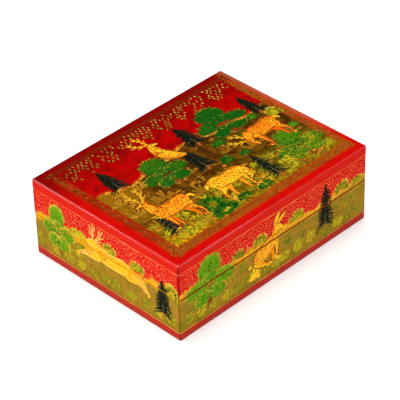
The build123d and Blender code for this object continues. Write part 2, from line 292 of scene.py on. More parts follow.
def painted_ground(g, sizes):
    """Grounds of both trays: on the top a red sky over three brown ridges inside a border, and on the
    sides a red sky over ochre ground between two bands, with a gold skyline."""
    f = Finish("painted_ground", LACQUER)
    x, y, z = f.along()
    patches, spots, grain, broad = f.noise(7, 4), f.noise(2.6), f.noise(0.9, 2), f.noise(34, 2)
    brushed, swept = f.noise(5, stretch=(0.35, 1, 1)), f.noise(2.2, 4, stretch=(1, 0.28, 0.28), shift=7)
    ragged = spots - 0.5

    # the top: shares run from 0 where the red band meets the border to 1 where the border meets the scene
    edges = {
        "left": x - (MIDDLE_X - HALF_X), "right": (MIDDLE_X + HALF_X) - x,
        "back": HALF_Y - y, "front": y + HALF_Y,
    }
    shares = []
    for side in SIDES:
        band, border = margins(sizes, side)
        shares.append((edges[side] - band) * (1 / border))
    share = reduce(Number.lower, shares) + ragged * 0.25
    red = f.over(
        g.vermilion,
        (g.deep_red, y.rise(15, 60) * 0.85),
        (g.deep_red, patches.rise(0.5, 0.8) * 0.3),
        (g.border_brown, x.rise(77, 85) * y.rise(-38, 0) * 0.6),
        # painted reflection: a pale sheen of reflected light laid into the red along the right edge of the
        # top
        (g.painted_sheen, x.rise(79, 86) * y.rise(-55, -10) * (0.04 + patches * 0.12)),
    )
    brown = y.rise(-30, -56).higher(x.rise(66, 80) * y.rise(60, 36))
    frame_ground = f.over(
        g.maroon,
        (g.border_red, y.rise(58, 40)),
        (g.border_brown, brown * (0.6 + spots * 0.6)),
        (g.deep_red, patches.rise(0.45, 0.65) * 0.4),
        (g.vermilion, spots.rise(0.52, 0.7) * 0.45),
    )
    sky = f.over(g.sky_red, (g.deep_red, patches.rise(0.42, 0.7) * 0.7), (g.deep_red, y.rise(32, 58) * 0.6))
    hills = f.over(
        g.hill_brown,
        (g.hill_ochre, patches.rise(0.36, 0.66)),
        (g.hill_ochre, x.rise(-34, -62) * 0.7),
        (g.crest_gold, x.rise(-40, -64) * 0.2),
    )
    far_ridge, *ridges = top_hills(x, Number.wave)
    for ridge, reach in zip(ridges, (11, 9)):
        below = ridge - y + ragged * 3
        hills = f.over(
            hills,
            (g.hill_brown, below.rise(0, 0.8) * below.rise(reach, 1) * 0.8),
            (g.hill_ochre, below.rise(-7, -0.5) * below.rise(0.4, -0.4) * 0.7),
        )
    near = y.rise(-8, -50)
    above = y - (sizes.horizon / MM + far_ridge) + ragged * 2.2
    scene = f.over(
        hills,
        (g.grass_green, near * brushed.rise(0.36, 0.58) * 0.85),
        (g.crest_gold, y.rise(-34, -52) * spots.rise(0.42, 0.62) * (0.35 + x.rise(-10, -50) * 0.45)),
        (g.wear_and_shade_brown, swept.rise(0.46, 0.62) * 0.62 * (1 - near * 0.6) * x.rise(-66, -34).higher(0.5)),
        (g.hill_ochre, swept.rise(0.46, 0.3) * 0.5),
        (sky, above.rise(-0.4, 0.4)),
    )
    top = f.over(red, (f.over(frame_ground, (scene, share.rise(0.93, 1.07))), share.rise(-0.16, 0.16)))

    # the sides from the foot up, the top, the seam rubbed gold with painted shade in its gap, painted shade
    # along the foot and a painted dark reflection down the upright corners, and chips rubbed at the edges
    line = sizes.skyline / MM + 1.3 * (x / 11 + 0.7).wave() + 1.3 * (y / 8 + 1.9).wave()
    line = line + (patches - 0.5) * 7 + ragged * 2.5
    on_left = x.rise(-86, -87)  # the crest is deeper and redder there
    thick = 3.6 + (broad - 0.5) * 6 + on_left * 1.4
    crest = (line - z).rise(thick + 2, thick - 2)
    waver = z + (grain - 0.5) * 0.5
    upper, foot = sizes.upper_line / MM, sizes.foot_line / MM
    seam = abs(z - SEAM)
    # painted shade: the lowest strip of the sides is darkened as if by the shade where the box meets the
    # floor; chips show there too
    foot_shade_and_wear = z.rise(1.6, 0.4)
    corner = (abs(x - MIDDLE_X) - HALF_X).higher(-9).lower(abs(y) - HALF_Y)
    edge = reduce(Number.lower, edges.values())
    rubbed_edge = (edge.rise(2.2, 0.6) * z.rise(TOP - 3, TOP - 1.5)).higher(foot_shade_and_wear)
    chips = f.noise(1.7, 2, shift=3).rise(0.66, 0.7) * rubbed_edge
    whole = f.over(
        g.side_ochre,
        (g.side_olive, brushed.rise(0.4, 0.68) * 0.7),
        (g.grass_green, z.rise(17, 8) * spots.rise(0.42, 0.62) * 0.5),
        (g.wear_and_shade_brown, z.rise(14, 7) * swept.rise(0.5, 0.7) * 0.3),
        (g.crest_gold, crest * spots.rise(0.22, 0.5) * 0.9),
        (g.vermilion, crest * on_left * 0.09),
        (f.over(g.bright_red, (g.vermilion, patches.rise(0.4, 0.7) * 0.6)), (z - line).rise(-0.4, 0.4)),
        (g.bright_red, waver.rise(upper - 0.15, upper + 0.15) * 0.7),
        (g.foot_red, waver.rise(foot + 0.15, foot - 0.15)),
        # painted shade along the foot, where the box meets the floor
        (g.wear_and_shade_brown, foot_shade_and_wear * 0.5),
        (top, z.rise(TOP - 0.9, TOP - 0.3)),
        (g.wear_and_shade_brown, grain.rise(0.35, 0.8) * 0.2),
        (g.crest_gold, seam.rise(1.7, 0.9) * spots.rise(0.35, 0.6) * 0.6),
        # painted shade: a dark band along the seam stands for the shadow in the gap between lid and base,
        # fainter on the left end
        (g.maroon, (seam + (grain - 0.5) * 0.3).rise(0.8, 0.5) * (1 - x.rise(-86.4, -87.2) * 0.6) * 0.95),
        # painted dark reflection: a dark line down each upright corner stands for the dark reflection on its
        # rounding
        (g.wear_and_shade_brown, corner.rise(-1.2, -0.5) * z.rise(TOP - 0.6, TOP - 2.5) * 0.7),
        (g.wear_and_shade_brown, chips * 0.6),
    )
    dome = edge.higher(0).lower(9) / 9
    height = dome * (2 - dome) * 0.16 * z.rise(TOP - 1, TOP - 0.2)
    height = height + patches * 0.05 + grain * 0.008 - chips * 0.03
    varnish(f, x, y, z)
    return f.dress(whole, 0.2 + grain * 0.08 + broad * 0.08 + chips * 0.3, height)


def brushed_paint():
    """Paint of the raised strokes: the colour that each point carries, streaked and mottled, under the
    same lacquer."""
    f = Finish("brushed_paint", LACQUER)
    carried = f.node("Attribute", {"attribute_name": "paint"}, output="Color")
    mottle, grain = f.noise(1.8), f.noise(0.5, 2)
    dark, gold = (0.012, 0.007, 0.002), (1, 0.8, 0.1)
    tone = f.over(carried, (dark, mottle.rise(0.4, 0.85) * 0.35), (gold, grain.rise(0.55, 0.85) * 0.05))
    varnish(f, *f.along())
    return f.dress(tone, 0.22 + grain * 0.12, mottle * 0.03 + grain * 0.01)


# ---- strokes of paint ---------------------------------------------------------------------------------
FOOT = -0.012  # mm that the edge of a stroke sinks below the face
FIRST_LEVEL = 0.008  # mm from the face to the lowest kind of paint
STAGGER, BATCH = 0.0014, 7  # mm between the heights of strokes laid together, and how many heights there are
CUT_EDGE = 0.004  # mm that a cut edge of a stroke stands above the face


def ways(angle):
    """Unit vectors at angles from the way across."""
    return np.stack([np.cos(angle), np.sin(angle)], -1)


def turned(across, up, tilt):
    """Points turned about the origin by a tilt in degrees."""
    c, s = np.cos(np.radians(tilt)), np.sin(np.radians(tilt))
    return np.stack([across * c - up * s, across * s + up * c], -1)


def curve(points, count, closed=False):
    """A smooth line through points: between two of them runs the cubic whose slope at each is half of
    the step between its neighbours. Samples crowd towards the ends of an open line."""
    p = np.asarray(points, float)
    k = p.shape[-2]
    spans = k if closed else k - 1
    x = np.arange(count) / (count if closed else count - 1)
    t = spans * (x if closed else (x + (1 - np.cos(np.pi * x)) / 2) / 2)
    i = np.minimum(t.astype(int), spans - 1)
    f = (t - i)[:, None]
    a, b, c, d = (p[..., (i + n) % k if closed else np.clip(i + n, 0, k - 1), :] for n in (-1, 0, 1, 2))
    return b + (c - a) * f / 2 + (a - 2.5 * b + 2 * c - d / 2) * f**2 + (1.5 * (b - c) + (d - a) / 2) * f**3


def square_to(line):
    """Unit vectors square to a line, to its left."""
    along = np.gradient(line[..., :2], axis=-2)
    along = along / np.maximum(np.linalg.norm(along, axis=-1, keepdims=True), 1e-9)
    return np.stack([-along[..., 1], along[..., 0]], -1)


def round_ends(line, half):
    """Half widths of a stroke with round ends: near an end they follow a circle of the stroke's own half
    width."""
    step = np.linalg.norm(np.diff(line, axis=-2), axis=-1)
    run = np.concatenate([np.zeros_like(step[..., :1]), np.cumsum(step, -1)], -1)
    share = np.clip(np.minimum(run, run[..., -1:] - run) / np.maximum(half, 1e-6), 0, 1)
    return half * np.sqrt(1 - (1 - share) ** 2)


def raised(spread, heights):
    """Points across and up, with heights out of the face for each place in a section."""
    out = np.broadcast_to(np.asarray(heights)[..., None], (*spread.shape[:-1], 1))
    return np.concatenate([spread, out], -1)


def grid(rows, columns, closed=False):
    """Triangles of a grid of points, rows by columns, with the last row joined to the first if closed."""
    index = np.arange(rows * columns).reshape(rows, columns)
    if closed:
        index = np.vstack([index, index[:1]])
    a, b, c, d = index[:-1, :-1], index[1:, :-1], index[1:, 1:], index[:-1, 1:]
    return np.stack([a, b, c, a, c, d], -1).reshape(-1, 3)


class Coat:
    """Paint on one face of the box: raised shapes as points across, up and out of the face, in
    millimetres."""

    def __init__(self, context):
        colours = context.scene.box_paints
        step = context.scene.box_sizes.paint_step / MM
        self.levels = {name: FIRST_LEVEL + step * i for i, name in enumerate(PAINTS)}
        self.ends = {
            name: [np.array(getattr(colours, f"{name}_{end}")) for end in ("dark", "light")]
            for name in PAINTS
        }
        self.points, self.faces, self.colours, self.count = [], [], [], 0

    def add(self, paint, points, faces, tint):
        """Adds a shape, or a batch of like shapes stacked along leading axes. Tint 0 is the paint's dark
        end, tint 1 its light end, and tints outside are brought to the nearer end."""
        points = np.asarray(points, float)
        size = points.shape[-2]
        tint = np.broadcast_to(np.asarray(tint, float), points.shape[:-1]).reshape(-1, 1)
        points = points.reshape(-1, 3)
        starts = self.count + size * np.arange(len(points) // size)
        dark, light = self.ends[paint]
        self.points.append(points)
        self.faces.append((faces[None] + starts[:, None, None]).reshape(-1, 3))
        self.colours.append(dark + (light - dark) * np.clip(tint, 0, 1))
        self.count += len(points)

    def stroke(self, paint, points, tint=0.5, count=14, rise=0.03, blunt=True):
        """A brush stroke: a smooth line through points that carry their half width, with a low
        flat-topped section. Strokes laid together differ a little in height, so that none lies level
        with one it crosses."""
        line = curve(points, count)
        half = np.maximum(line[..., 2], 0.02)
        half = round_ends(line[..., :2], half) if blunt else half
        turns = np.arange(np.prod(half.shape[:-1], dtype=int)).reshape(half.shape[:-1]) % BATCH
        top = self.levels[paint] + rise + STAGGER * turns[..., None] * np.ones_like(half)
        edge = np.full_like(top, FOOT)
        section = np.array([-1, -0.72, 0.72, 1.0])[:, None] * half[..., None, None]
        spread = line[..., None, :2] + section * square_to(line)[..., None, :]
        full = raised(spread, np.stack([edge, top, top, edge], -1))
        tint = np.asarray(tint, float)
        tint = tint[..., None] if tint.ndim else tint
        self.add(paint, full.reshape(*full.shape[:-3], -1, 3), grid(count, 4), tint)

    def flicks(self, paint, starts, heading, long, half, tint, count=6, rise=0.03):
        """Short strokes, each from its start along a heading in degrees."""
        self.stroke(paint, flicks(starts, heading, long, half), tint, count, rise)

    def patch(self, paint, outline, middle, tint, edge_tint, rise, count=48):
        """A filled patch, flat with a low shoulder: rings at shares of the way from its middle out to a
        smooth closed outline."""
        away = curve(outline, count, closed=True) - middle
        top = self.levels[paint] + rise
        spread = middle + np.array([1.0, 0.93, 0.5, 0.0])[:, None] * away[:, None]
        full = raised(spread, [FOOT, top, top, top])
        tints = tint + (edge_tint - tint) * np.broadcast_to([1.0, 0.8, 0.1, 0], (count, 4))
        self.add(paint, full.reshape(-1, 3), grid(count, 4, closed=True), tints.reshape(-1))

    def dots(self, paint, places, radius, tint, rise=0.03, corners=8):
        """Round dots: a sunk rim, a shoulder and a middle."""
        places = np.asarray(places, float)[..., :2].reshape(-1, 2)
        radius = np.broadcast_to(np.asarray(radius, float), len(places))
        ring = ways(2 * np.pi * np.arange(corners) / corners)
        top = self.levels[paint] + rise
        rings = radius[:, None, None, None] * np.array([1.0, 0.7, 0])[:, None] * ring[:, None]
        full = raised(places[:, None, None] + rings, [FOOT, top - 0.006, top])
        tint = np.broadcast_to(tint, len(places))[:, None]
        self.add(paint, full.reshape(len(places), -1, 3), grid(corners, 3, closed=True), tint)

    def shapes(self):
        """All points, triangles that face out of the box, and colours."""
        points, faces, colours = map(np.concatenate, (self.points, self.faces, self.colours))
        a, b, c = (points[faces[:, i], :2] for i in range(3))
        inward = (b[:, 0] - a[:, 0]) * (c[:, 1] - a[:, 1]) < (b[:, 1] - a[:, 1]) * (c[:, 0] - a[:, 0])
        faces[inward] = faces[inward][:, ::-1]
        return points, faces, colours


def keep_beyond(points, faces, colours, limit, above, axis):
    """The part of a face's paint above or below a height, or right or left of a line on axis 0:
    triangles that cross it are cut there, and the cut edge comes down close to the skin."""
    kept = (points[:, axis] >= limit) == above
    number = kept[faces].sum(1)
    new_points, new_faces, new_colours = [points], [faces[number == 3]], [colours]
    start = len(points)
    for inside in (1, 2):
        crossing = faces[number == inside]
        odd = np.argmax(kept[crossing] == (inside == 1), axis=1)
        lone, second, third = np.take_along_axis(crossing, (odd[:, None] + np.arange(3)) % 3, axis=1).T
        ends = []
        for other in (second, third):
            share = ((limit - points[lone, axis]) / (points[other, axis] - points[lone, axis]))[:, None]
            spot = points[lone] + share * (points[other] - points[lone])
            spot[:, 2] = np.minimum(spot[:, 2], CUT_EDGE)
            new_points.append(spot)
            new_colours.append(colours[lone] + share * (colours[other] - colours[lone]))
            ends.append(start + np.arange(len(spot)))
            start += len(spot)
        corners = ((lone, *ends),) if inside == 1 else ((ends[0], second, third), (ends[0], third, ends[1]))
        new_faces += [np.stack(three, 1) for three in corners]
    used, faces = np.unique(np.concatenate(new_faces), return_inverse=True)
    return np.concatenate(new_points)[used], faces.reshape(-1, 3), np.concatenate(new_colours)[used]


def on_box(face, body, points):
    """Points across, up and out of a face, in millimetres, as points of the box in metres."""
    across, up, out = points.T
    low, high = SKINS[body]
    return MM * np.stack({
        "top": (across, up, high[2] + out),
        "front": (across, low[1] - out, up),
        "back": (-across, high[1] + out, up),
        "left": (low[0] - out, -across, up),
        "right": (high[0] + out, across, up),
    }[face], 1)


def piece(name, points, faces, colours, body, context):
    """A painted piece that rides on one tray."""
    mesh = bpy.data.meshes.new(name)
    mesh.vertices.add(len(points))
    mesh.vertices.foreach_set("co", points.astype(np.float32).ravel())
    mesh.loops.add(faces.size)
    mesh.loops.foreach_set("vertex_index", faces.astype(np.int32).ravel())
    mesh.polygons.add(len(faces))
    mesh.polygons.foreach_set("loop_start", np.arange(0, faces.size, 3, dtype=np.int32))
    mesh.update(calc_edges=True)
    opaque = np.column_stack([colours, np.ones(len(colours))]).astype(np.float32)
    mesh.attributes.new("paint", "FLOAT_COLOR", "POINT").data.foreach_set("color", opaque.ravel())
    mesh.materials.append(bpy.data.materials.get("brushed_paint") or brushed_paint().material)
    made = bpy.data.objects.new(name, mesh)
    context.scene.collection.objects.link(made)
    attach(made, body)


EDGE_GAP, CORNER_GAP = 1.7, 0.9  # mm of the sides left bare under the top's edge and at each corner
RIM_GAPS = {"front": 0.4, "right": 0.4, "back": 1.6, "left": 0.4}  # more at the bevels under the hinges


def lay(context, kind, coats):
    """Makes the pieces of one kind, one on the lid and one on the base, from the coats on the box's faces."""
    for body, sign in (("lid", 1), ("base", -1)):
        parts, start = [], 0
        for face, coat in coats.items():
            if not coat.count or (face, body) == ("top", "base"):
                continue
            shapes = coat.shapes()
            if face != "top":
                low, high = (corner[0 if face in ("front", "back") else 1] for corner in SKINS[body])
                if face in ("back", "left"):
                    low, high = -high, -low
                for limit, above, axis in (
                    (RIMS[body] + sign * RIM_GAPS[face], body == "lid", 1), (TOP - EDGE_GAP, False, 1),
                    (low + CORNER_GAP, True, 0), (high - CORNER_GAP, False, 0),
                ):
                    shapes = keep_beyond(*shapes, limit, above, axis)
            points, faces, colours = shapes
            parts.append((on_box(face, body, points), faces + start, colours))
            start += len(points)
        if start:
            piece(f"{body}_{kind}", *map(np.concatenate, zip(*parts)), body, context)
    return {"FINISHED"}


# ---- figures ------------------------------------------------------------------------------------------
def moved(points, place, facing=1, size=1.0, tilt=0.0):
    """A figure's own points, with half widths, tilted, scaled, turned to face right (1) or left (-1),
    and put in place."""
    p = np.array(points, float)
    p[..., :2] = np.array(place) + (facing * size, size) * turned(p[..., 0], p[..., 1], tilt)
    p[..., 2:] *= size
    return p


def bones(start, lengths, angles, halves):
    """Joints of a limb with half widths: bones of these lengths end to end, each turned this far from
    straight ahead."""
    steps = ways(np.radians(angles)) * np.array(lengths)[:, None]
    return np.column_stack([np.vstack([start, np.array(start) + np.cumsum(steps, 0)]), halves])


def flicks(starts, heading, long, half):
    """Short strokes as three points each, from a start along a heading, swollen at the middle and with a
    fine tip."""
    starts = np.asarray(starts, float)
    n = len(starts)
    heading, long, half = (np.broadcast_to(value, n) for value in (np.radians(heading), long, half))
    way = ways(heading) * long[:, None]
    path = ((0, 0.6), (0.5, 1), (1, 0.15))
    return np.stack([np.column_stack([starts + way * share, half * swell]) for share, swell in path], 1)


def hatched(coat, paint, limb, move, number, sides, long, half, tint, rng, lean=0.0, rise=0.03):
    """Short strokes laid along a limb: each starts at a random share of its length and of its width, and
    follows it."""
    line = curve(limb, 40)
    square = square_to(line)
    index = (rng.uniform(0.05, 0.9, number) * 39).astype(int)
    offset = rng.uniform(*sides, number) * line[index, 2]
    start = line[index, :2] + offset[:, None] * square[index]
    heading = np.degrees(np.arctan2(-square[index, 0], square[index, 1])) + lean + rng.normal(0, 9, number)
    long, half = rng.uniform(0.7, 1.25, number) * long, rng.uniform(0.75, 1.2, number) * half
    strokes = flicks(start, heading, long, half)
    coat.stroke(paint, move(strokes), tint + rng.uniform(-0.15, 0.15, number), count=6, rise=rise)


# tilt of the body, turns of the neck and the head, then of near and far front and near and far hind legs
DEER_POSES = {
    "standing": (
        0, (80, 86, 92), -6, (-92, -88, -90), (-84, -98, -92), (-75, -118, -90), (-66, -108, -92),
    ),
    "walking": (
        0, (50, 58, 62), -22, (-68, -84, -98), (-104, -96, -100), (-62, -108, -86), (-92, -128, -104),
    ),
    "leaping": (
        0, (30, 36, 42), -12, (-28, -6, -16), (-4, 6, -38), (-166, -174, -150), (-180, -184, -158),
    ),
    "grazing": (
        -4, (-20, -52, -74), -108, (-96, -90, -92), (-78, -92, -90), (-78, -116, -88), (-62, -106, -92),
    ),
    "nibbling": (
        -3, (-32, -64, -92), -128, (-84, -90, -92), (-98, -94, -90), (-84, -118, -90), (-58, -104, -92),
    ),
    "peering": (
        0, (96, 88, 72), -14, (-24, -150, -176), (-40, -140, -170), (-60, -150, -176), (-44, -140, -170),
    ),
}
OUTLINED = (  # limb, side of it, and which part of its length gets a dark line
    ("barrel", 1, 1, 16), ("barrel", -1, 3, 14), ("neck", 1, 2, 16), ("neck", -1, 3, 15),
    ("near_hind", -1, 3, 17), ("near_hind", 1, 6, 17), ("near_front", 1, 4, 17), ("near_front", -1, 3, 17),
    ("far_hind", -1, 7, 17), ("far_front", -1, 7, 17), ("head", 1, 2, 15), ("head", -1, 4, 16),
    ("ear", 1, 1, 16), ("far_ear", 1, 2, 17),
)


def fleshed(coat, limbs, move, tone, tints, rng, line="drawing"):
    """Lays each limb as one tapered stroke of fur and hatches it: orange along its back, pale along its
    belly. Then dark lines follow its edges."""
    tints = {"far_front": -0.3, "far_hind": -0.3, "tail": 0.4, "head": 0.15, **tints}
    for i, (name, points) in enumerate(limbs.items()):
        coat.stroke("fur", move(points), tone + tints.get(name, 0.0), count=18, rise=0.008 + 0.001 * i)
    for name, number in (("barrel", 26), ("neck", 9), ("near_hind", 9), ("near_front", 5)):
        if name in limbs:
            limb = limbs[name]
            hatched(coat, "fur", limb, move, number, (0.0, 0.85), 3.4, 0.42, tone - 0.42, rng, rise=0.022)
            hatched(coat, "fur", limb, move, number, (-0.9, 0.25), 3.2, 0.4, tone + 0.4, rng, rise=0.025)
    for name, side, start, end in OUTLINED:
        if name in limbs:
            limb = curve(limbs[name], 18)
            picked = (limb[:, :2] + side * 0.86 * limb[:, 2:] * square_to(limb))[start:end:2]
            width = 0.24 + 0.16 * np.sin(np.linspace(0, np.pi, len(picked)))
            tint = 0.15 + 0.3 * rng.random() + 0.5 * (line == "cream")
            coat.stroke(line, move(np.column_stack([picked, width])), tint, count=16)


LEGS = (  # name, start, lengths of the bones, half widths
    ("near_front", (7.6, 14.6), (5.0, 5.0, 4.2), (3.8, 2.0, 1.15, 0.9)),
    ("far_front", (5.2, 14.6), (5.0, 5.0, 4.2), (3.0, 1.7, 1.1, 0.85)),
    ("near_hind", (-9.2, 14.6), (5.4, 5.2, 4.8), (5.2, 2.8, 1.25, 0.9)),
    ("far_hind", (-7.4, 14.6), (5.4, 5.2, 4.8), (3.8, 2.2, 1.2, 0.9)),
)


def deer(coat, place, size, facing, pose, tone, seed):
    """A spotted stag: a barrel, a neck and a head, four legs of three bones, an ear, a tail and
    branching antlers."""
    rng = np.random.default_rng(seed)
    tilt, neck_turn, head_turn, *legs = DEER_POSES[pose]
    leaping, peering = pose == "leaping", pose == "peering"
    move = lambda points: moved(points, place, facing, size, tilt)
    limbs = dict.fromkeys(("far_front", "far_hind"))  # laid before the near ones
    for (name, start, lengths, halves), angles in zip(LEGS, legs):
        leg = bones(start, lengths, angles, halves)
        limbs[name] = np.vstack([leg, [*(leg[-1, :2] + (1.0, -0.5)), 0.6]])
    limbs["barrel"] = np.array([
        (-12.2, 14.8, 4.4), (-9.0, 15.6, 6.3), (-3, 15.0, 5.9), (2.6, 15.0, 6.0), (7, 15.8, 6.2),
        (9.8, 17.6, 4.2),
    ])
    if leaping:  # it is stretched out, and draws its head back, with its antlers close over its shoulders
        limbs["barrel"] = limbs["barrel"] * (1, 1, 0.76) + (0, 0.6, 0)
    neck_bones = np.array((3.4, 3.5, 3.4)) * (0.5 if leaping else 1.0)
    limbs["neck"] = neck = bones((7.4, 17.6), neck_bones, neck_turn, (4.9, 3.8, 2.9, 2.2))
    poll = neck[-1, :2] - 0.6 * ways(np.radians(head_turn))
    limbs["head"] = head = bones(poll, (2.3, 1.9, 1.8), (head_turn,) * 3, (1.9, 2.0, 1.25, 0.9))
    limbs["tail"] = [(-12.4, 17.0, 1.0), (-14.6, 16.2, 1.1), (-15.4, 13.8, 0.5)]
    behind = head_turn + 150
    limbs["ear"] = bones(head[0, :2] + (0, 0.9), (1.7, 1.8), (behind, behind + 8), (0.4, 1.0, 0.2))
    if peering:  # it stands behind a ridge, and shows its chest and back
        chest = [(18.0, 6.0, 1.0), (14.5, 8.4, 3.2), (11.2, 11.6, 4.7), (8.6, 15.4, 4.9), (7.0, 19.4, 4.0)]
        limbs = {"barrel": chest, "neck": neck, "head": head, "ear": limbs["ear"]}
    fleshed(coat, limbs, move, tone, {"neck": 0.1}, rng, "cream" if leaping else "drawing")

    # antlers: two beams that part, with tines and small buds at their tips; a nibbling doe has none
    crown = head[0, :2] + (0.2, 1.3)
    lean = {"grazing": 50, "peering": 124, "leaping": 112}.get(pose, 98)
    horn, short = ("cream", 0.72) if leaping else ("fur", 1.0)
    beams = (
        (crown, (3.2, 3.6, 3.6, 3.0), (36, 22, -4, -30), 52),
        (crown + (1.1, 0), (3.0, 3.3, 3.3, 2.7), (-12, -30, -10, 20), -50),
    )
    for start, lengths, turns, fork in beams if pose != "nibbling" else ():
        beam = bones(start, np.array(lengths) * short, lean + np.array(turns), (0.4, 0.36, 0.32, 0.28, 0.18))
        coat.stroke(horn, move(beam), 0.85, count=16)
        tips = [beam[-1, :2]]
        for joint, reach in ((1, 3.4), (2, 3.8), (3, 3.0)):
            along = beam[joint + 1, :2] - beam[joint, :2]
            for turn, long in ((fork, reach), (-fork * 0.8, reach * 0.6)):
                heading = np.degrees(np.arctan2(along[1], along[0])) + turn
                bent = (heading, heading - turn * 0.5)
                tine = bones(beam[joint, :2], (long / 2,) * 2, bent, (0.3, 0.27, 0.18))
                coat.stroke(horn, move(tine), 0.8 + 0.2 * rng.random(), count=8)
                tips.append(tine[-1, :2])
        coat.dots(horn, move(tips), size * 0.34, 1.0, corners=6)

    # spots in staggered rows, dashes on the neck and the thighs
    if not (peering or leaping):
        rows = np.array([(x, y) for y in (12.6, 14.8, 17.0, 19.0) for x in np.arange(-12, 8.5, 2.7)])
        n = len(rows)
        rows = rows + rng.normal(0, 0.3, rows.shape) + (1.35, 0) * (np.round((rows[:, 1:] - 12.6) / 2.1) % 2)
        spots = flicks(rows, rng.uniform(-60, 10, n), rng.uniform(1.0, 1.7, n), 0.42)
        coat.stroke("drawing", move(spots), rng.uniform(0.0, 0.8, n), count=5)
    dashes = {"barrel": 20 * peering, "neck": 12, "near_hind": 10, "near_front": 5, "head": 3}
    for name, number in dashes.items():
        if number and name in limbs and not leaping:
            hatched(coat, "drawing", limbs[name], move, number, (-0.75, 0.75), 1.6, 0.32, 0.35, rng, lean=35)
    coat.dots("drawing", move([head[1, :2] + (-0.2, 0.5)]), size * 0.55, 0.0)


def sitting_hare():
    """Place of the eye, and limbs in the order that they are laid."""
    return (10.2, 26.2), {
        "far_front": [(4, 15, 2.8), (4.6, 8.5, 1.7), (4.2, 3, 1.1), (6.6, 1.0, 0.9)],
        "tail": [(-15.4, 5.8, 1.6), (-17.2, 7.2, 1.9)],
        "barrel": [(-11.5, 6.6, 5.0), (-8, 9.4, 7.4), (-2, 13.2, 7.2), (4, 17.4, 6.0), (6.6, 21.6, 4.4)],
        "near_hind": [(-9.6, 9.2, 6.8), (-6.4, 4.8, 4.4), (-2.0, 1.8, 1.7), (3.4, 1.0, 1.1)],
        "near_front": [(7.2, 16.4, 3.2), (8.8, 9.6, 1.9), (8.4, 3.4, 1.2), (11.0, 1.2, 1.0)],
        "neck": [(6.0, 19.6, 4.4), (7.4, 24.0, 3.6)],
        "head": [(6.0, 24.6, 3.2), (9.4, 25.4, 3.5), (12.8, 23.8, 2.1), (14.6, 22.6, 1.3)],
        "far_ear": [(8.0, 27.6, 1.2), (11.4, 30.6, 1.9), (15.2, 33.0, 1.4), (17.6, 33.8, 0.3)],
        "ear": [(6.2, 27.8, 1.2), (7.6, 31.8, 2.1), (9.8, 35.4, 1.6), (11.4, 37.2, 0.3)],
    }


def leaping_hare():
    """Place of the eye, and limbs in the order that they are laid."""
    return (11.6, 17.8), {
        "far_front": bones((5.6, 8.6), (4, 4, 2.4), (-40, -60, -30), (2.0, 1.3, 0.95, 0.8)),
        "far_hind": bones((-7, 8.2), (4.0, 3.8, 3), (-110, -140, -170), (3.0, 1.7, 1.0, 0.9)),
        "barrel": [
            (-11.5, 8.6, 4.2), (-7.5, 10.0, 6.4), (-1.5, 9.8, 5.8), (4.5, 10.6, 5.5), (8.5, 13.0, 4.2),
        ],
        "near_hind": bones((-8, 8.6), (4.0, 4.2, 3.4), (-80, -130, -176), (5.0, 2.4, 1.2, 1.0)),
        "near_front": bones((6.8, 8.8), (4, 4.2, 2.4), (-62, -70, -20), (2.6, 1.4, 1.0, 0.8)),
        "neck": [(6.0, 11.8, 4.0), (9.8, 15.4, 3.2)],
        "head": [(8.6, 16.6, 2.8), (11.4, 17.0, 3.1), (14.2, 15.6, 1.9), (15.4, 14.8, 1.2)],
        "far_ear": [(10.6, 18.6, 0.9), (13.6, 22.0, 1.6), (17.0, 24.4, 1.3), (19.0, 25.2, 0.3)],
        "ear": [(9.4, 18.8, 0.9), (9.6, 23.2, 1.8), (8.8, 27.2, 1.5), (8.0, 29.0, 0.3)],
        "tail": [(-13.0, 9.6, 1.3), (-15.2, 10.6, 1.7), (-16.2, 11.6, 0.9)],
    }


def hare(coat, place, size, facing, tone, limbs_of, seed):
    """A hare with a round haunch and two tall ears, which runs or sits up."""
    rng = np.random.default_rng(seed)
    eye, limbs = limbs_of()
    move = lambda points: moved(points, place, facing, size)
    fleshed(coat, limbs, move, tone, {"ear": 0.2}, rng)
    dashes = {"barrel": 28, "near_hind": 9, "neck": 8, "near_front": 5, "ear": 3, "far_ear": 3}
    for name, number in dashes.items():
        hatched(coat, "drawing", limbs[name], move, number, (-0.75, 0.75), 1.8, 0.32, 0.75, rng, lean=25)
    for name in ("barrel", "near_hind", "near_front"):
        hatched(coat, "fur", limbs[name], move, 9, (-0.95, -0.3), 3.4, 0.6, 1.0, rng, rise=0.034)
    coat.dots("drawing", move([eye]), size * 0.6, 0.0)


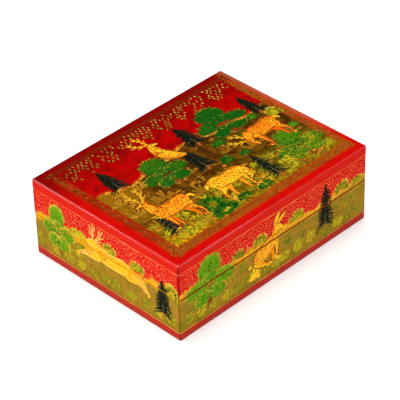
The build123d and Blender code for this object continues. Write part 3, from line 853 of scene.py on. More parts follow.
def fir(coat, place, height, pale, spread, seed):
    """A fir: a dark spindle, ragged tiers of drooping boughs with hanging needles, longer towards the
    foot, and a red foot."""
    rng = np.random.default_rng(seed)
    x, y = place
    width = spread * height
    level = np.linspace(0.98, 0.15, 17)
    n = len(level)
    at = lambda across, up, half: (x + across * width, y + up * height, half * width)
    foot = [(x, y - 0.4, 0.1 * width), (x + 0.1, y + 0.1 * height, 0.14 * width), at(0, 0.2, 0.08)]
    coat.stroke("trunk", foot, 0.45)
    lit_foot = [(x - 0.1 * width, y - 0.3, 0.05 * width), at(0, 0.12, 0.06)]
    coat.stroke("trunk", lit_foot, 1.0, count=8, rise=0.04)
    spindle = [at(0, 1, 0.04), at(0, 0.78, 0.2), at(0, 0.48, 0.42), at(0, 0.26, 0.52), at(0, 0.15, 0.16)]
    coat.stroke("fir", spindle, pale * 0.8, count=22, rise=0.006)
    for side in (-1, 1):
        reach = 1.12 * width * np.minimum((1.05 - level) ** 0.68, 1.0) * rng.uniform(0.7, 1.2, n)
        droop = 0.012 * height + 0.34 * reach * rng.uniform(0.5, 1.3, n)
        top = y + level * height
        boughs = np.stack([
            np.stack([x + side * out * reach, top + lift, np.full(n, half * width)], -1)
            for out, lift, half in ((0, 0.01 * height, 0.09), (0.5, -0.45 * droop, 0.10), (1, -droop, 0.03))
        ], 1)
        coat.stroke("fir", boughs, pale + 0.25 * rng.random(n), count=9, rise=0.018)
        low = boughs[2:]
        for share in (0.35, 0.6, 0.8, 0.95):
            spot = low[:, 0] + (low[:, 2] - low[:, 0]) * share + rng.normal(0, 0.02 * width, low[:, 0].shape)
            k = len(spot)
            heading, long = -90 + side * rng.uniform(5, 75, k), 0.08 * height * rng.uniform(0.6, 1.1, k)
            tint = pale + rng.uniform(-0.1, 0.45, k)
            coat.flicks("fir", spot[:, :2], heading, long, 0.05 * width, tint, rise=0.021)
        lit = boughs[4::3] + (0, 0.008 * height, 0)
        lit[..., 2] = 0.03 * width
        coat.stroke("glint", lit, pale + 0.25 * rng.random(len(lit)) - 0.1, count=8)
    shine = [at(0.02, 0.13, 0.05), at(-0.02, 0.32, 0.03), (x, y + 0.44 * height, 0.01)]
    coat.stroke("glint", shine, 0.5 + 0.5 * pale, count=8)


def scallop(middle, radii, bumps, depth, tilt=0.0, count=48, phase=0.0):
    """A cloud-like outline: an ellipse whose radius swells in even bumps, the absolute value of a sine."""
    a = 2 * np.pi * np.arange(count) / count
    r = 1 + depth * np.abs(np.sin(bumps * a / 2 + phase)) - depth + 0.4 * depth * np.sin(11 * a + 5 * phase)
    return middle + turned(radii[0] * r * np.cos(a), radii[1] * r * np.sin(a), tilt)


CLUMPS = (  # middle and radii of a tree's clumps of leaves, in shares of its height, then bumps and tilt
    ((-0.15, 0.25), (0.22, 0.13), 6, 24),
    ((0.17, 0.25), (0.22, 0.13), 6, -24),
    ((-0.30, 0.47), (0.25, 0.14), 6, 14),
    ((0.31, 0.47), (0.25, 0.14), 6, -14),
    ((0.03, 0.55), (0.17, 0.10), 6, 0),
    ((0.00, 0.76), (0.28, 0.23), 7, 0),
)
DABS = (  # number, lowest and highest share of a clump's height, change of tone, reach
    (330, -0.9, 0.4, -0.35, 1.0), (380, -0.7, 0.95, 0.0, 1.0), (90, 0.2, 0.98, 0.25, 1.06),
)


def broadleaf(coat, place, height, tone, width, gold, seed):
    """A spreading tree: ragged clumps of leaves on a forked trunk. Dabs fan up over each clump, dark at
    its foot and light along its crown, and a few gold ones break its edge."""
    rng = np.random.default_rng(seed)
    at = lambda across, up: (place[0] + across * height * width, place[1] + up * height)
    for across, bend in ((-0.03, -0.13), (0.0, 0.0), (0.03, 0.13)):
        path = ((across * 1.5, 0.02, 0.024), (across, 0.2, 0.018), (bend, 0.45, 0.01))
        trunk = [(*at(out, up), half * height) for out, up, half in path]
        coat.stroke("trunk", trunk, 0.3 * rng.random(), count=10, rise=0.012)
    for i, (centre, radii, bumps, tilt) in enumerate(CLUMPS):
        middle = np.array(at(*(np.array(centre) + rng.normal(0, 0.012, 2))))
        size = np.array(radii) * height * (width, 1) * rng.uniform(0.93, 1.08)
        shade = tone + rng.uniform(-0.12, 0.08)
        outline = scallop(middle, size, bumps, 0.12, tilt, phase=rng.uniform(0, 3))
        coat.patch("leaf", outline, middle, shade, shade - 0.1, 0.008 + 0.001 * i)
        for number, low, high, lift, reach in DABS:
            n = int(number * radii[0] * radii[1] * 4)
            up = rng.uniform(low, high, n)
            across = rng.uniform(-1, 1, n) * np.sqrt(np.maximum(reach - up**2, 0.02))
            spot = middle + turned(size[0] * across, size[1] * up, tilt)
            heading = 90 - 62 * across + rng.normal(0, 16, n)
            long, half = height * rng.uniform(0.035, 0.06, n), height * 0.0125 * rng.uniform(0.7, 1.2, n)
            tint = tone + lift + rng.uniform(-0.16, 0.16, n)
            coat.flicks("dab", spot, heading, long, half, tint, rise=0.014 + 0.004 * (lift + 0.4))
        n = int(gold * 60 * radii[0] / 0.2)
        a = np.radians(rng.uniform(-20, 200, n) + tilt)
        edge = middle + size * ways(a) * rng.uniform(0.86, 1.04, (n, 1))
        heading, long = np.degrees(a) + rng.normal(0, 18, n), height * rng.uniform(0.02, 0.045, n)
        tint = rng.uniform(0.1, 0.6, n) + 0.3 * gold
        coat.flicks("rim", edge, heading, long, height * 0.009, tint, count=5)


def tufts(coat, paint, places, reach, blades, spread, half, tint, seed, curl=0.12):
    """Tufts of tapered blades that fan up and out from a point each, with tips that curl outwards."""
    rng = np.random.default_rng(seed)
    places = np.asarray(places, float)
    n = len(places)
    angle = np.radians(90 + np.linspace(spread, -spread, blades) + rng.normal(0, 6, (n, blades)))
    long = np.broadcast_to(reach, n)[:, None] * rng.uniform(0.6, 1.0, (n, blades))
    long = long * (1 - 0.25 * np.abs(np.linspace(-1, 1, blades)))
    way = ways(angle) * long[..., None]
    out = ways(angle) * (1, 0) * (curl * long[..., None])
    foot = places[:, None] + way * 0.08
    halves = np.broadcast_to(np.broadcast_to(half, n)[:, None, None], (n, blades, 1))
    path = ((0, 0, 0.6), (0.5, -0.3, 1), (0.92, 1, 0.15))
    blade = [np.concatenate([foot + way * up + out * bent, halves * swell], -1) for up, bent, swell in path]
    tint = np.broadcast_to(tint, n)[:, None] + rng.uniform(-0.15, 0.15, (n, blades))
    coat.stroke(paint, np.stack(blade, -2), tint, count=8)


def clouds_of_grass(coat, places, size, tints, seed, number):
    """Soft clumps of upright grass: many short blades, thick in the middle of an ellipse and thin at its
    edge."""
    rng = np.random.default_rng(seed)
    places, size = np.asarray(places, float), np.asarray(size, float)
    n = len(places)
    a, r = rng.uniform(0, 2 * np.pi, (n, number)), rng.random((n, number)) ** 0.6
    spot = places[:, None] + size[:, None] / 2 * r[..., None] * ways(a)
    heading = 90 - 30 * r * np.cos(a) + rng.normal(0, 10, (n, number))
    tint = np.asarray(tints)[:, None] + rng.uniform(-0.3, 0.3, (n, number))
    long, half = rng.uniform(1.4, 3.0, n * number), rng.uniform(0.3, 0.5, n * number)
    coat.flicks("grass", spot.reshape(-1, 2), heading.ravel(), long, half, tint.ravel())


def bush(coat, place, wide, high, tone, gold, seed):
    """A low round bush: blades fan up and out in four rings, each inside the one before, over a ragged
    patch, with fine gold lines at the edge of a gold one."""
    rng = np.random.default_rng(seed)
    middle = place + np.array((0, high * 0.45))
    radii = np.array((wide, high)) / 2
    ground, blades, share, dense = ("grass", "grass", 0.66, 38) if gold else ("leaf", "dab", 0.9, 26)
    outline = scallop(middle, radii * share, 6, 0.16, phase=rng.uniform(0, 3), count=36)
    coat.patch(ground, outline, middle, tone, tone - 0.15, 0.004, count=36)
    n = int(dense * wide / 12)
    for share, lift in ((1.0, 0.0), (0.95, 0.1), (0.72, -0.1), (0.45, 0.15)):
        a = np.radians(np.linspace(205, -25, n) + rng.normal(0, 6, n))
        spot = middle + share * radii * 0.62 * ways(a) - (0, 0.12 * high)
        heading, long = np.degrees(a) + rng.normal(0, 14, n), high * rng.uniform(0.16, 0.36, n)
        tint = tone + lift + rng.uniform(-0.3, 0.3, n)
        coat.flicks(blades, spot, heading, long, high * 0.05, tint, rise=0.012)
    if gold:
        a = np.radians(rng.uniform(0, 180, int(22 * gold)))
        spot = middle + radii * 0.85 * ways(a)
        coat.flicks("rim", spot, np.degrees(a), high * 0.2, high * 0.045, rng.uniform(0.3, 1, len(a)))


def fan(coat, place, reach, tone, seed):
    """A fan of rounded leaves on the hills: each is ochre with a dark rim and a paler rib."""
    rng = np.random.default_rng(seed)
    spread, blades = 76, 7
    turn = np.linspace(spread, -spread, blades)
    way = np.radians(90 + turn + rng.normal(0, 5, blades))
    long = reach * rng.uniform(0.72, 1.0, blades) * (1 - 0.25 * np.abs(turn) / spread)
    way = (ways(way) * long[:, None])[:, None]
    shares, swell = np.array([0.08, 0.38, 0.74, 0.97]), np.array([0.3, 0.8, 1.0, 0.5])
    for paint, grow, half, tint in (
        ("shade", 1.0, 0.118, 0.0), ("frond", 0.97, 0.088, tone), ("frond", 0.82, 0.02, tone + 0.35)
    ):
        line = np.asarray(place) + way * (shares * grow)[:, None]
        halves = np.broadcast_to((reach * half * swell)[:, None], (blades, len(swell), 1))
        tint = tint + rng.uniform(-0.1, 0.1, blades)
        coat.stroke(paint, np.concatenate([line, halves], -1), tint, count=10)


# ---- where the figures stand, in millimetres across and up each face ----------------------------------
FIRS = {  # place, height, paleness, spread
    "top": [
        (-56, 14, 26, 0.0, 0.27), (13.5, 13, 26.5, 0.0, 0.28), (69, 9, 26, 0.05, 0.25),
        (-1, -10, 26, 0.0, 0.29), (-61.5, -45, 25, 0.5, 0.25), (26, -50, 31, 0.35, 0.22),
    ],
    "front": [(47, 12.4, 37, 0.12, 0.2)],
    "left": [(52, 11, 30, 0.12, 0.24)],
    "right": [(-46, 11, 34, 0.12, 0.22)],
    "back": [(-12, 11, 36, 0.12, 0.2), (78, 11, 26, 0.12, 0.22)],
}
BROADLEAVES = {  # place, height, tone, width, gold
    "top": [(-25, -9, 35, 0.1, 0.95, 0.25), (41, 4, 37, 0.0, 1.02, 0.1), (58, -50, 35, 0.34, 1.05, 0.2)],
    "front": [(-61, 11.5, 42, 0.72, 0.9, 0.5)],
    "left": [(-44, 10, 41, 0.85, 0.62, 1.0)],
    "right": [(8, 11.5, 41, 0.75, 0.85, 0.5)],
    "back": [(-71, 11.5, 40, 0.75, 0.6, 0.6), (27, 11.5, 41, 0.75, 0.85, 0.5)],
}
BUSHES = {  # place, width, height, tone, gold
    "top": [
        (22.5, 2.5, 13, 8, 0.05, 0), (13, -15, 10, 9, 0.1, 0), (27, -17, 9, 7, 0.08, 0),
        (42, 0, 8, 6, 0.1, 0), (60, 8, 9, 8, 0.3, 0), (-8, -50, 13, 8, 0.0, 0), (10, -51, 13, 8, 0.05, 0),
        (74, -1, 10, 12, 0.5, 0.5), (72, -18, 9, 7, 0.4, 0), (34, -30, 10, 6, 0.2, 0.3),
        (-28, -43, 17, 15, 0.12, 0), (-26, -53, 22, 14, 0.06, 0), (-47, -50, 9, 6, 0.5, 0.6),
        (72, -50, 10, 7, 0.45, 0.4), (40, -49, 9, 7, 0.35, 0.4),
    ],
    "front": [
        (-35, 34.5, 11, 8, 0.15, 0.4), (-15, 34.5, 12, 9, 0.4, 1.0), (19, 35, 14, 9, 0.45, 1.0),
        (63, 34.5, 13, 10, 0.3, 0.7), (78, 33.6, 11, 7, 0.4, 1.0),
    ],
    "left": [
        (-24, 33, 15, 8, 0.75, 1.4), (5, 35, 12, 9, 0.5, 1.0), (30, 34.5, 13, 9, 0.4, 1.0),
        (60, 28, 12, 14, 0.45, 1.0),
    ],
    "right": [
        (-28, 34, 12, 8, 0.6, 1.0), (28, 34, 13, 9, 0.7, 1.0), (60, 34, 11, 8, 0.6, 0.7),
        (-61, 34, 10, 8, 0.6, 0.7),
    ],
    "back": [(-30, 35, 12, 8, 0.65, 1.0), (6, 35, 12, 8, 0.65, 1.0), (66, 35, 9, 8, 0.6, 0.8)],
}
DEER = {  # place, size, facing, pose, tone
    "top": [
        (-48, -40, 1.22, -1, "standing", 0.4), (-20, 6, 1.1, 1, "peering", 0.6),
        (-2, -43, 1.18, 1, "nibbling", 0.75), (56, -20, 1.16, -1, "grazing", 0.28),
    ],
    "left": [(6, 9.6, 1.36, -1, "leaping", 0.76)],
    "right": [(44, 10.5, 1.05, -1, "walking", 0.5)],
    "back": [(-42, 10.5, 0.98, 1, "standing", 0.5)],
}
HARES = {  # place, size, facing, tone, pose
    "front": [(-8, 15.2, 1.0, 1, 0.62, sitting_hare)],
    "right": [(-20, 12, 0.85, 1, 0.5, leaping_hare)],
    "back": [(52, 11, 0.9, -1, 0.5, leaping_hare)],
}
FANS = (  # place, reach, tone
    (-44, -13, 15, 0.45), (-23, -26, 14, 0.35), (-68, -14, 12, 0.6), (-68, 2, 11, 0.7), (-66, -31, 11, 0.5),
    (-38, -50, 13, 0.6), (8, -31, 11, 0.3), (35, -14, 11, 0.4), (52, -5, 9, 0.45), (-8, -29, 10, 0.35),
    (46, -32, 10, 0.5), (70, -36, 10, 0.55), (16, -42, 9, 0.6), (-47, 6, 11, 0.75), (-62, 10, 9, 0.8),
    (-14, -6, 9, 0.35), (20, -6, 9, 0.3), (-30, -40, 9, 0.4),
)


def coats_for(context, faces):
    """An empty coat for each of these faces."""
    return {face: Coat(context) for face in faces}


def side_half(face):
    """Half the length of a side."""
    return HALF_X if face in ("front", "back") else HALF_Y


def set_out(context, kind, table, draw, seed):
    """Draws one kind of figure where its table puts it, each with a seed of its own."""
    coats = coats_for(context, table)
    for face, coat in coats.items():
        for number, (across, up, *traits) in enumerate(table[face]):
            draw(coat, (across, up), *traits, seed + number)
    return lay(context, kind, coats)


def hoop(ends, body, height, seed):
    """A gold line round a tray: the rounded rectangle of its plan carries a low section, and its height
    and width waver."""
    half, rise, radius, spacing = 0.2, 0.05, 1.2, 1.5
    plan, outward = [], []
    (left, front, _), (right, back, _) = SKINS[body]
    for x, y, start in ((right, front, -90), (right, back, 0), (left, back, 90), (left, front, 180)):
        way = ways(np.radians(start + np.linspace(0, 90, 9)))
        plan.append(np.array([x - np.sign(x) * radius, y - np.sign(y) * radius]) + radius * way)
        outward.append(way)
    plan, outward = np.concatenate(plan), np.concatenate(outward)
    following = np.roll(plan, -1, 0), np.roll(outward, -1, 0)
    parts = np.maximum(1, np.round(np.linalg.norm(following[0] - plan, axis=1) / spacing).astype(int))
    index = np.repeat(np.arange(len(plan)), parts)
    share = np.concatenate([np.arange(n) / n for n in parts])[:, None]
    pairs = zip((plan, outward), following)
    line, way = (at[index] + share * (then[index] - at[index]) for at, then in pairs)
    run = np.linspace(0, 2 * np.pi, len(line), endpoint=False)
    rng = np.random.default_rng(seed)
    waver = sum(np.sin(k * run + rng.uniform(0, 6)) for k in (5, 13, 29, 61))[:, None]
    points = np.empty((len(line), 4, 3))
    points[..., :2] = line[:, None] + way[:, None] * np.array([FOOT, rise, rise, FOOT])[:, None]
    halves = half * (1 + 0.16 * np.roll(waver, 7, 0))
    points[..., 2] = height + 0.07 * waver + halves * np.array([-1, -0.6, 0.6, 1.0])
    dark, light = ends
    tint = np.clip(0.55 + 0.2 * np.roll(waver, 19, 0), 0, 1)
    colours = np.repeat(dark + (light - dark) * tint, 4, axis=0)
    return points.reshape(-1, 3) * MM, grid(len(line), 4, closed=True), colours


# ---- operators ----------------------------------------------------------------------------------------
class BOX_OT_skins(bpy.types.Operator):
    """Lay the red, ochre and brown grounds on both papier mache skins and lacquer them"""

    bl_idname = "painted_box.skins"
    bl_label = "Grounds and lacquer"

    def execute(self, context):
        painted_ground(context.scene.box_grounds, context.scene.box_sizes).give("base_skin", "lid_skin")
        return {"FINISHED"}


class BOX_OT_insides(bpy.types.Operator):
    """Finish the linings, the underside, the boards and their rims"""

    bl_idname = "painted_box.insides"
    bl_label = "Linings, boards and underside"

    def execute(self, context):
        f = Finish("black_lining_paper", {"Specular IOR Level": 0.4})
        fibres, cloud, dust = f.noise(0.5, stretch=(0.25, 1, 1)), f.noise(16), f.noise(0.7, 2, shift=5)
        soot, brown, grey = (0.006, 0.005, 0.005), (0.02, 0.016, 0.014), (0.09, 0.07, 0.05)
        tone = f.over(soot, (brown, cloud.rise(0.35, 0.7)), (grey, dust.rise(0.68, 0.76) * 0.5))
        f.dress(tone, 0.36 + fibres * 0.2 + cloud * 0.1, fibres * 0.05 + cloud * 0.2)
        f.give("base_wall_lining", "base_floor_lining", "lid_wall_lining", "lid_top_lining")

        f = Finish("poplar_board", {"Specular IOR Level": 0.3})
        fleck, worn = f.noise(1.2, stretch=(0.12, 0.12, 1)), f.noise(3.5, 4).rise(0.6, 0.72)
        rings = f.node("TexWave", {"wave_type": "BANDS", "bands_direction": "Z"}, {
            "Vector": f.place, "Scale": 260.0, "Distortion": 7.0, "Detail": 3.0, "Detail Scale": 0.6})
        rim = abs(f.along()[2] - SEAM).rise(0.6, 0.35)
        pale, dark = (0.50, 0.31, 0.14), (0.30, 0.16, 0.06)
        wear_and_shade_brown = context.scene.box_grounds.wear_and_shade_brown
        tone = f.over(pale, (dark, rings * 0.7 + fleck * 0.3), (wear_and_shade_brown, rim * (1 - worn * 0.7)))
        f.dress(tone, 0.62 - rim * 0.25 + worn * 0.1, fleck * 0.06 + rings * 0.02, 0.6)
        walls = (f"{tray}_{side}_board" for tray in ("base", "lid") for side in SIDES)
        f.give(*walls, "base_floor_board", "lid_top_board")

        f = Finish("lacquered_underside", {"Specular IOR Level": 0.45})
        strokes, cloud = f.noise(1.5, stretch=(0.1, 1, 1)), f.noise(22)
        scuffs = f.noise(0.9, 4, stretch=(0.3, 1, 1), shift=2).rise(0.62, 0.7)
        black, maroon, bare = (0.012, 0.006, 0.005), (0.045, 0.014, 0.009), (0.16, 0.09, 0.05)
        tone = f.over(black, (maroon, cloud.rise(0.35, 0.7)), (bare, scuffs * 0.4))
        f.dress(tone, 0.28 + strokes * 0.15 + scuffs * 0.25, strokes * 0.04 - scuffs * 0.03)
        f.give("base_underside_sheet")
        return {"FINISHED"}


class BOX_OT_metal(bpy.types.Operator):
    """Finish the brass hinges and their nails, and the steel brads"""

    bl_idname = "painted_box.metal"
    bl_label = "Hinges, nails and brads"

    def execute(self, context):
        f = Finish("tarnished_brass", {"Metallic": 1.0})
        cloud, scratches = f.noise(3, 4), f.noise(0.35, stretch=(0.15, 1, 1))
        brass, tarnish, bright = (0.62, 0.42, 0.13), (0.20, 0.11, 0.035), (0.80, 0.62, 0.28)
        tone = f.over(brass, (tarnish, cloud.rise(0.48, 0.72)), (bright, scratches.rise(0.55, 0.75) * 0.5))
        f.dress(tone, 0.24 + cloud * 0.25 + scratches * 0.1, scratches * 0.02 + cloud * 0.03)
        f.give(*(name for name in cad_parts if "hinge" in name))

        f = Finish("dull_steel", {"Metallic": 1.0})
        cloud = f.noise(0.8, 4)
        steel, rust = (0.42, 0.41, 0.40), (0.14, 0.08, 0.05)
        tone = f.over(steel, (rust, cloud.rise(0.5, 0.75)))
        f.dress(tone, 0.35 + cloud * 0.3).give("base_brads", "lid_brads")
        return {"FINISHED"}


class BOX_OT_specks(bpy.types.Operator):
    """Speckle the red sky on the four sides with fine pale dots, in staggered rows"""

    bl_idname = "painted_box.specks"
    bl_label = "Specks on the red sides"

    def execute(self, context):
        sizes = context.scene.box_sizes
        pitch, foot, top = sizes.speck_pitch / MM, 35.5, sizes.upper_line / MM - 0.9
        coats = coats_for(context, SIDES)
        for number, (face, coat) in enumerate(coats.items()):
            rng = np.random.default_rng(60 + number)
            half = side_half(face)
            columns, rows = np.arange(2 - half, half - 1.5, pitch), np.arange(foot, top, pitch * 0.83)
            across, up = np.meshgrid(columns, rows)
            across = across + pitch / 2 * (np.arange(len(up)) % 2)[:, None]
            places = np.stack([across, up], -1).reshape(-1, 2) + rng.normal(0, 0.3, (across.size, 2))
            places = places[(np.abs(places[:, 0]) < half - 1.6) & (rng.random(len(places)) < 0.9)]
            n = len(places)
            coat.dots("speck", places, rng.uniform(0.26, 0.46, n), rng.random(n), corners=6, rise=0.02)
        return lay(context, "specks", coats)


class BOX_OT_border(bpy.types.Operator):
    """Draw the leafy border round the top: a waving stem with pairs of leaves, on all four edges"""

    bl_idname = "painted_box.border"
    bl_label = "Leafy border"

    def execute(self, context):
        coat = Coat(context)
        rng = np.random.default_rng(12)
        tones = {"front": (0.2, 0.85), "right": (0.1, 0.9), "back": (0.0, 0.1), "left": (0.0, 0.6)}
        middle, mitre, pitch = (MIDDLE_X, 0), 5.6, 2.2
        for number, side in enumerate(SIDES):
            reach, deep = side_half(side), HALF_X + HALF_Y - side_half(side)
            band, border = margins(context.scene.box_sizes, side)
            spin = ways(np.radians(90 * number) + np.array([0, np.pi / 2]))
            place = lambda points: np.concatenate([points[..., :2] @ spin + middle, points[..., 2:]], -1)
            run = np.arange(mitre - reach, reach - mitre, pitch)
            n = len(run)
            stem = np.stack([run, band - deep + border * (0.5 + 0.17 * np.sin(run)), np.full(n, 0.2)], -1)
            coat.stroke("vine", place(stem), 0.3 * tones[side][1], count=4 * n, rise=0.006, blunt=False)
            for lean in (58, -58):
                start, heading = stem[:, :2] + rng.normal(0, 0.25, (n, 2)), lean + rng.normal(0, 18, n)
                long, half = border * rng.uniform(0.3, 0.44, n), border * rng.uniform(0.07, 0.11, n)
                leaf = flicks(start, heading, long, half)
                coat.stroke("vine", place(leaf), rng.uniform(*tones[side], n), count=7, rise=0.01)
        across = np.linspace(-50, -4, 12)  # a dark line inside the front border, towards the left
        dark_line = np.stack([across, 11.4 - HALF_Y + 0.25 * np.sin(across / 5), 0 * across + 0.3], -1)
        coat.stroke("vine", dark_line, 0.0, count=40)
        return lay(context, "border_leaves", {"top": coat})


class BOX_OT_gilt_lines(bpy.types.Operator):
    """Draw the thin gold lines round the lid and round the foot"""

    bl_idname = "painted_box.gilt_lines"
    bl_label = "Gold lines"

    def execute(self, context):
        sizes, ends = context.scene.box_sizes, Coat(context).ends["gilt"]
        for body, height, seed in (("lid", sizes.upper_line, 3), ("base", sizes.foot_line, 4)):
            piece(f"{body}_gold_line", *hoop(ends, body, height / MM, seed), body, context)
        return {"FINISHED"}


class BOX_OT_hanging_leaves(bpy.types.Operator):
    """Hang garlands of pale-hearted leaves along the back of the top"""

    bl_idname = "painted_box.hanging_leaves"
    bl_label = "Hanging leaves"

    def execute(self, context):
        coat = Coat(context)
        rng = np.random.default_rng(5)
        top = HALF_Y - sum(margins(context.scene.box_sizes, "back")) - 0.6
        pitch, row_height, garland = 3.5, 2.75, 16.3
        columns = np.arange(MIDDLE_X - HALF_X + 16.5, MIDDLE_X + HALF_X - 14, pitch)
        across, row = np.meshgrid(columns, np.arange(7))
        spots = np.stack([across + pitch / 2 * (row % 2), top - row_height * row], -1).reshape(-1, 2)
        # nine garlands hang side by side
        drop = 5.5 + 11 * np.abs(np.cos(np.pi * (spots[:, 0] + 69) / garland)) ** 1.6
        spots = spots[(top - spots[:, 1] < drop) & (rng.random(len(spots)) < 0.8)]
        spots = spots + rng.normal(0, 0.4, spots.shape)
        n = len(spots)
        heading = -90 + 24 * np.sin(spots[:, 0]) + rng.normal(0, 16, n)
        paler = 0.5 * (spots[:, 0] + 70) / 140
        for paint, long, half, tint in (
            ("shade", 3.2, 0.85, 0.4),
            ("frond", 2.4, 0.7, rng.uniform(0, 0.3, n)),
            ("cream", 1.6, 0.52, rng.uniform(-0.5, 0.36, n) + paler),
        ):
            start = spots - long * 0.5 * ways(np.radians(heading))
            coat.flicks(paint, start, heading, long, half, tint, count=8, rise=0.01)
        return lay(context, "hanging_leaves", {"top": coat})


class BOX_OT_grasses(bpy.types.Operator):
    """Scatter fans of leaves and tufts over the hills of the top, and clumps of grass over the ground of
    the sides"""

    bl_idname = "painted_box.grasses"
    bl_label = "Fans, tufts and grass"

    def execute(self, context):
        coats = coats_for(context, ("top", *SIDES))
        top = coats["top"]
        rng = np.random.default_rng(21)
        horizon = context.scene.box_sizes.horizon / MM
        far_ridge = lambda across: horizon + top_hills(across, np.sin)[0]

        # gold fronds along the far ridge, and broken gold lines along all three
        n = 46
        across = np.arange(-70, 76, 3.2) + rng.normal(0, 0.8, n)
        places = np.stack([across, far_ridge(across) - 1.2], -1)
        tufts(top, "frond", places, rng.uniform(2.4, 5.5, n), 6, 60, 0.3, rng.uniform(0.3, 1, n), 1, curl=0.3)
        run = np.linspace(-72, 76, 90)
        for ridge, shift, tint in zip(top_hills(run, np.sin), (horizon, 0, 0), (0.75, 0.35, 0.45)):
            line = np.stack([run, ridge + shift - 0.4, np.full(len(run), 0.3)], -1)
            for start in range(0, 84, 9):
                part = line[start : start + int(rng.integers(5, 9))]
                top.stroke("frond", part, tint + rng.uniform(-0.2, 0.2), count=30)

        # big fans, then small tufts scattered among them, and clumps of grass at the front
        for number, (x, y, reach, tone) in enumerate(FANS):
            fan(top, (x, y), reach, tone, 70 + number)
        places = rng.uniform((-71, -50), (75, 14), (165, 2))
        places = places[places[:, 1] < far_ridge(places[:, 0]) - 4]
        n = len(places)
        near = (14 - places[:, 1]) / 64
        tufts(top, "shade", places + (0.6, -0.4), rng.uniform(3, 6, n), 5, 50, 0.3, rng.uniform(0, 0.6, n), 4)
        reach, half = rng.uniform(2.5, 5.5, n), rng.uniform(0.2, 0.34, n)
        tufts(top, "frond", places, reach, 6, 56, half, rng.uniform(0.0, 0.5, n) + 0.3 * near, 2)
        n = 150
        low = rng.uniform((-71, -51), (75, -26), (n, 2))
        clouds_of_grass(top, low, np.full((n, 2), (5.0, 3.4)), rng.uniform(0.0, 0.95, n), 3, 12)

        # clumps on the sides from the foot line up, and gold tufts on the crest
        for number, face in enumerate(SIDES, 1):
            coat, half = coats[face], side_half(face) - 7
            rng = np.random.default_rng(31 + number)
            spaced = lambda n, wander: np.linspace(-half, half, n) + rng.normal(0, wander, n)
            n = int(half / 5.2)
            foot = np.stack([spaced(n, 1.5), rng.uniform(11.5, 14, n)], -1)
            size = rng.uniform((7, 6), (10, 9), (n, 2))
            clouds_of_grass(coat, foot, size, rng.uniform(0.2, 0.75, n), 40 + number, 56)
            n = int(half / 7)
            mid = rng.uniform((-half, 18), (half, 27), (n, 2))
            size = rng.uniform((5, 5), (8, 8), (n, 2))
            clouds_of_grass(coat, mid, size, rng.uniform(0.1, 0.5, n), 50 + number, 40)
            if face == "front":  # a pale clump with gold blades before the hare
                clouds_of_grass(coat, [(-21, 12), (-19, 14)], [(9, 7), (7, 6)], (1.0, 0.9), 39, 40)
                gold = [(-22.5, 10.0), (-19.5, 11.0), (-17.0, 9.6)]
                tufts(coat, "fur", gold, (8.0, 9.5, 6.5), 8, 46, 0.55, (0.95, 1.0, 0.85), 38)
            n = int(half / 4)
            crest = np.stack([spaced(n, 2), rng.uniform(34.0, 36.5, n)], -1)
            reach, tint = rng.uniform(3, 5.5, n), rng.uniform(0.7, 1, n)
            tufts(coat, "frond", crest, reach, 7, 58, 0.34, tint, 55 + number)
        return lay(context, "fronds_and_tufts", coats)


class BOX_OT_bushes(bpy.types.Operator):
    """Set round bushes on the hills and on the skyline of the sides"""

    bl_idname = "painted_box.bushes"
    bl_label = "Bushes"

    def execute(self, context):
        return set_out(context, "bushes", BUSHES, bush, 0)


class BOX_OT_broadleaves(bpy.types.Operator):
    """Plant the spreading green trees"""

    bl_idname = "painted_box.broadleaves"
    bl_label = "Broad-leaved trees"

    def execute(self, context):
        return set_out(context, "broadleaf_trees", BROADLEAVES, broadleaf, 10)


class BOX_OT_firs(bpy.types.Operator):
    """Plant the dark firs"""

    bl_idname = "painted_box.firs"
    bl_label = "Firs"

    def execute(self, context):
        return set_out(context, "firs", FIRS, fir, 20)


class BOX_OT_deer(bpy.types.Operator):
    """Draw the golden deer"""

    bl_idname = "painted_box.deer"
    bl_label = "Deer"

    def execute(self, context):
        return set_out(context, "deer", DEER, deer, 30)


class BOX_OT_hares(bpy.types.Operator):
    """Draw the golden hares on the sides"""

    bl_idname = "painted_box.hares"
    bl_label = "Hares"

    def execute(self, context):
        return set_out(context, "hares", HARES, hare, 40)


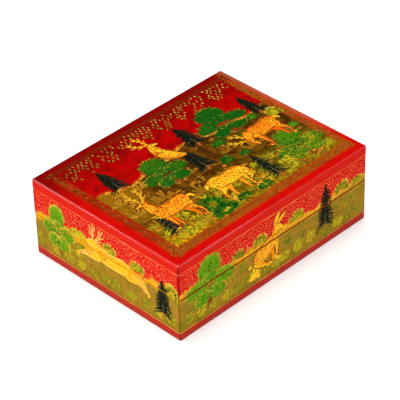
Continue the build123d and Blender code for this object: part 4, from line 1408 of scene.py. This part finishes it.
class BOX_OT_stage(bpy.types.Operator):
    """Set the pale floor, the soft lights, the surroundings and the camera"""

    bl_idname = "painted_box.stage"
    bl_label = "Floor, lights and camera"

    def execute(self, context):
        scene, studio = context.scene, context.scene.box_studio
        link = scene.collection.objects.link
        # the floor is flat, and lifts at its far edges by the square of the distance past a circle
        steps = 61
        span = np.linspace(-studio.floor / 2, studio.floor / 2, steps)
        x, y = (side.ravel() for side in np.meshgrid(span, span))
        past = np.maximum(np.hypot(x, y) - studio.floor * 0.35, 0)
        mesh = bpy.data.meshes.new("floor")
        points = np.stack([x, y, 0.35 * past**2], 1)
        mesh.from_pydata(points.tolist(), [], grid(steps, steps)[:, ::-1].tolist())
        mesh.polygons.foreach_set("use_smooth", np.ones(len(mesh.polygons), bool))
        glow = {"Specular IOR Level": 0.1, "Emission Color": (1, 1, 1, 1), "Emission Strength": 0.22}
        f = Finish("pale_floor", glow)
        f.dress(f.over((0.88,) * 3, ((0.84, 0.84, 0.845), f.noise(300, 2))), 0.8 + f.noise(40, 2) * 0.1)
        mesh.materials.append(f.material)
        floor = bpy.data.objects.new("floor", mesh)
        link(floor)

        middle = Vector((0, 0, 0.03))
        for name, place, size, power in (
            ("overhead_softbox", (0.05, 0.25, 1.6), (1.2, 1.0), studio.overhead),
            ("front_softbox", (-1.4, -0.9, 0.75), (1.1, 0.9), studio.frontal),
            ("far_softbox", (-1.1, 1.3, 1.1), (0.6, 0.5), studio.far_side),
            ("right_softbox", (1.2, -1.1, 1.1), (0.6, 0.5), studio.far_side * 0.7),
        ):
            lamp = bpy.data.lights.new(name, "AREA")
            lamp.shape, lamp.energy, (lamp.size, lamp.size_y) = "RECTANGLE", power, size
            holder = bpy.data.objects.new(name, lamp)
            holder.location = place
            holder.rotation_euler = (middle - Vector(place)).to_track_quat("-Z", "Y").to_euler()
            link(holder)

        # surroundings: pale near the horizon, dim higher up
        scene.world = world = bpy.data.worlds.new("studio")
        world.use_nodes = True
        nodes, join = world.node_tree.nodes, world.node_tree.links.new
        kinds = ("TexCoord", "SeparateXYZ", "MapRange")
        ray, split, height = (nodes.new("ShaderNode" + kind) for kind in kinds)
        height.interpolation_type = "SMOOTHSTEP"
        for socket, value in zip(height.inputs[1:5], (0.05, 0.42, 0.85, 0.10)):
            socket.default_value = value
        join(ray.outputs["Generated"], split.inputs[0])
        join(split.outputs[2], height.inputs[0])
        join(height.outputs[0], nodes["Background"].inputs["Strength"])
        nodes["Background"].inputs["Color"].default_value = (1, 1, 1, 1)

        turn, lift = studio.azimuth, studio.elevation
        away = Vector((np.sin(turn) * np.cos(lift), -np.cos(turn) * np.cos(lift), np.sin(lift)))
        right = (-away).cross(Vector((0, 0, 1))).normalized()
        up = right.cross(-away)
        across = np.cos(studio.roll) * right + np.sin(studio.roll) * up
        upward = -np.sin(studio.roll) * right + np.cos(studio.roll) * up
        pose = Matrix((across, upward, away)).transposed().to_4x4()
        target = Vector((-0.002031, -0.000418, 0.030))
        lens = bpy.data.cameras.new("camera")
        lens.sensor_width, lens.lens, lens.clip_start, lens.clip_end = 36, studio.lens, 0.05, 50
        scene.camera = camera = bpy.data.objects.new("camera", lens)
        camera.matrix_world = Matrix.Translation(target + away * studio.distance) @ pose
        link(camera)
        scene.view_settings.view_transform = "Standard"
        return {"FINISHED"}


OPERATORS = (
    BOX_OT_stage, BOX_OT_skins, BOX_OT_insides, BOX_OT_metal, BOX_OT_specks, BOX_OT_border,
    BOX_OT_gilt_lines, BOX_OT_hanging_leaves, BOX_OT_grasses, BOX_OT_bushes, BOX_OT_broadleaves, BOX_OT_firs,
    BOX_OT_deer, BOX_OT_hares,
)
SETTINGS = {
    "box_grounds": BoxGrounds, "box_paints": BoxPaints, "box_sizes": BoxSizes, "box_studio": BoxStudio,
}


class BOX_PT_panel(bpy.types.Panel):
    """Lists the steps of painting the box"""

    bl_idname = "BOX_PT_panel"
    bl_label = "Painted Box"
    bl_space_type = "VIEW_3D"
    bl_region_type = "UI"
    bl_category = "Painted Box"

    def draw(self, context):
        for operator in OPERATORS:
            self.layout.operator(operator.bl_idname)
        for name, group in SETTINGS.items():
            column = self.layout.column()
            for key in group.__annotations__:
                column.prop(getattr(context.scene, name), key)


CLASSES = (*SETTINGS.values(), *OPERATORS, BOX_PT_panel)


def register():
    for made in CLASSES:
        bpy.utils.register_class(made)
    for name, group in SETTINGS.items():
        setattr(bpy.types.Scene, name, PointerProperty(type=group))


def unregister():
    for name in SETTINGS:
        delattr(bpy.types.Scene, name)
    for made in reversed(CLASSES):
        bpy.utils.unregister_class(made)


def main():
    register()
    for operator in OPERATORS:
        group, name = operator.bl_idname.split(".")
        getattr(getattr(bpy.ops, group), name)()


if __name__ == "__main__":
    main()
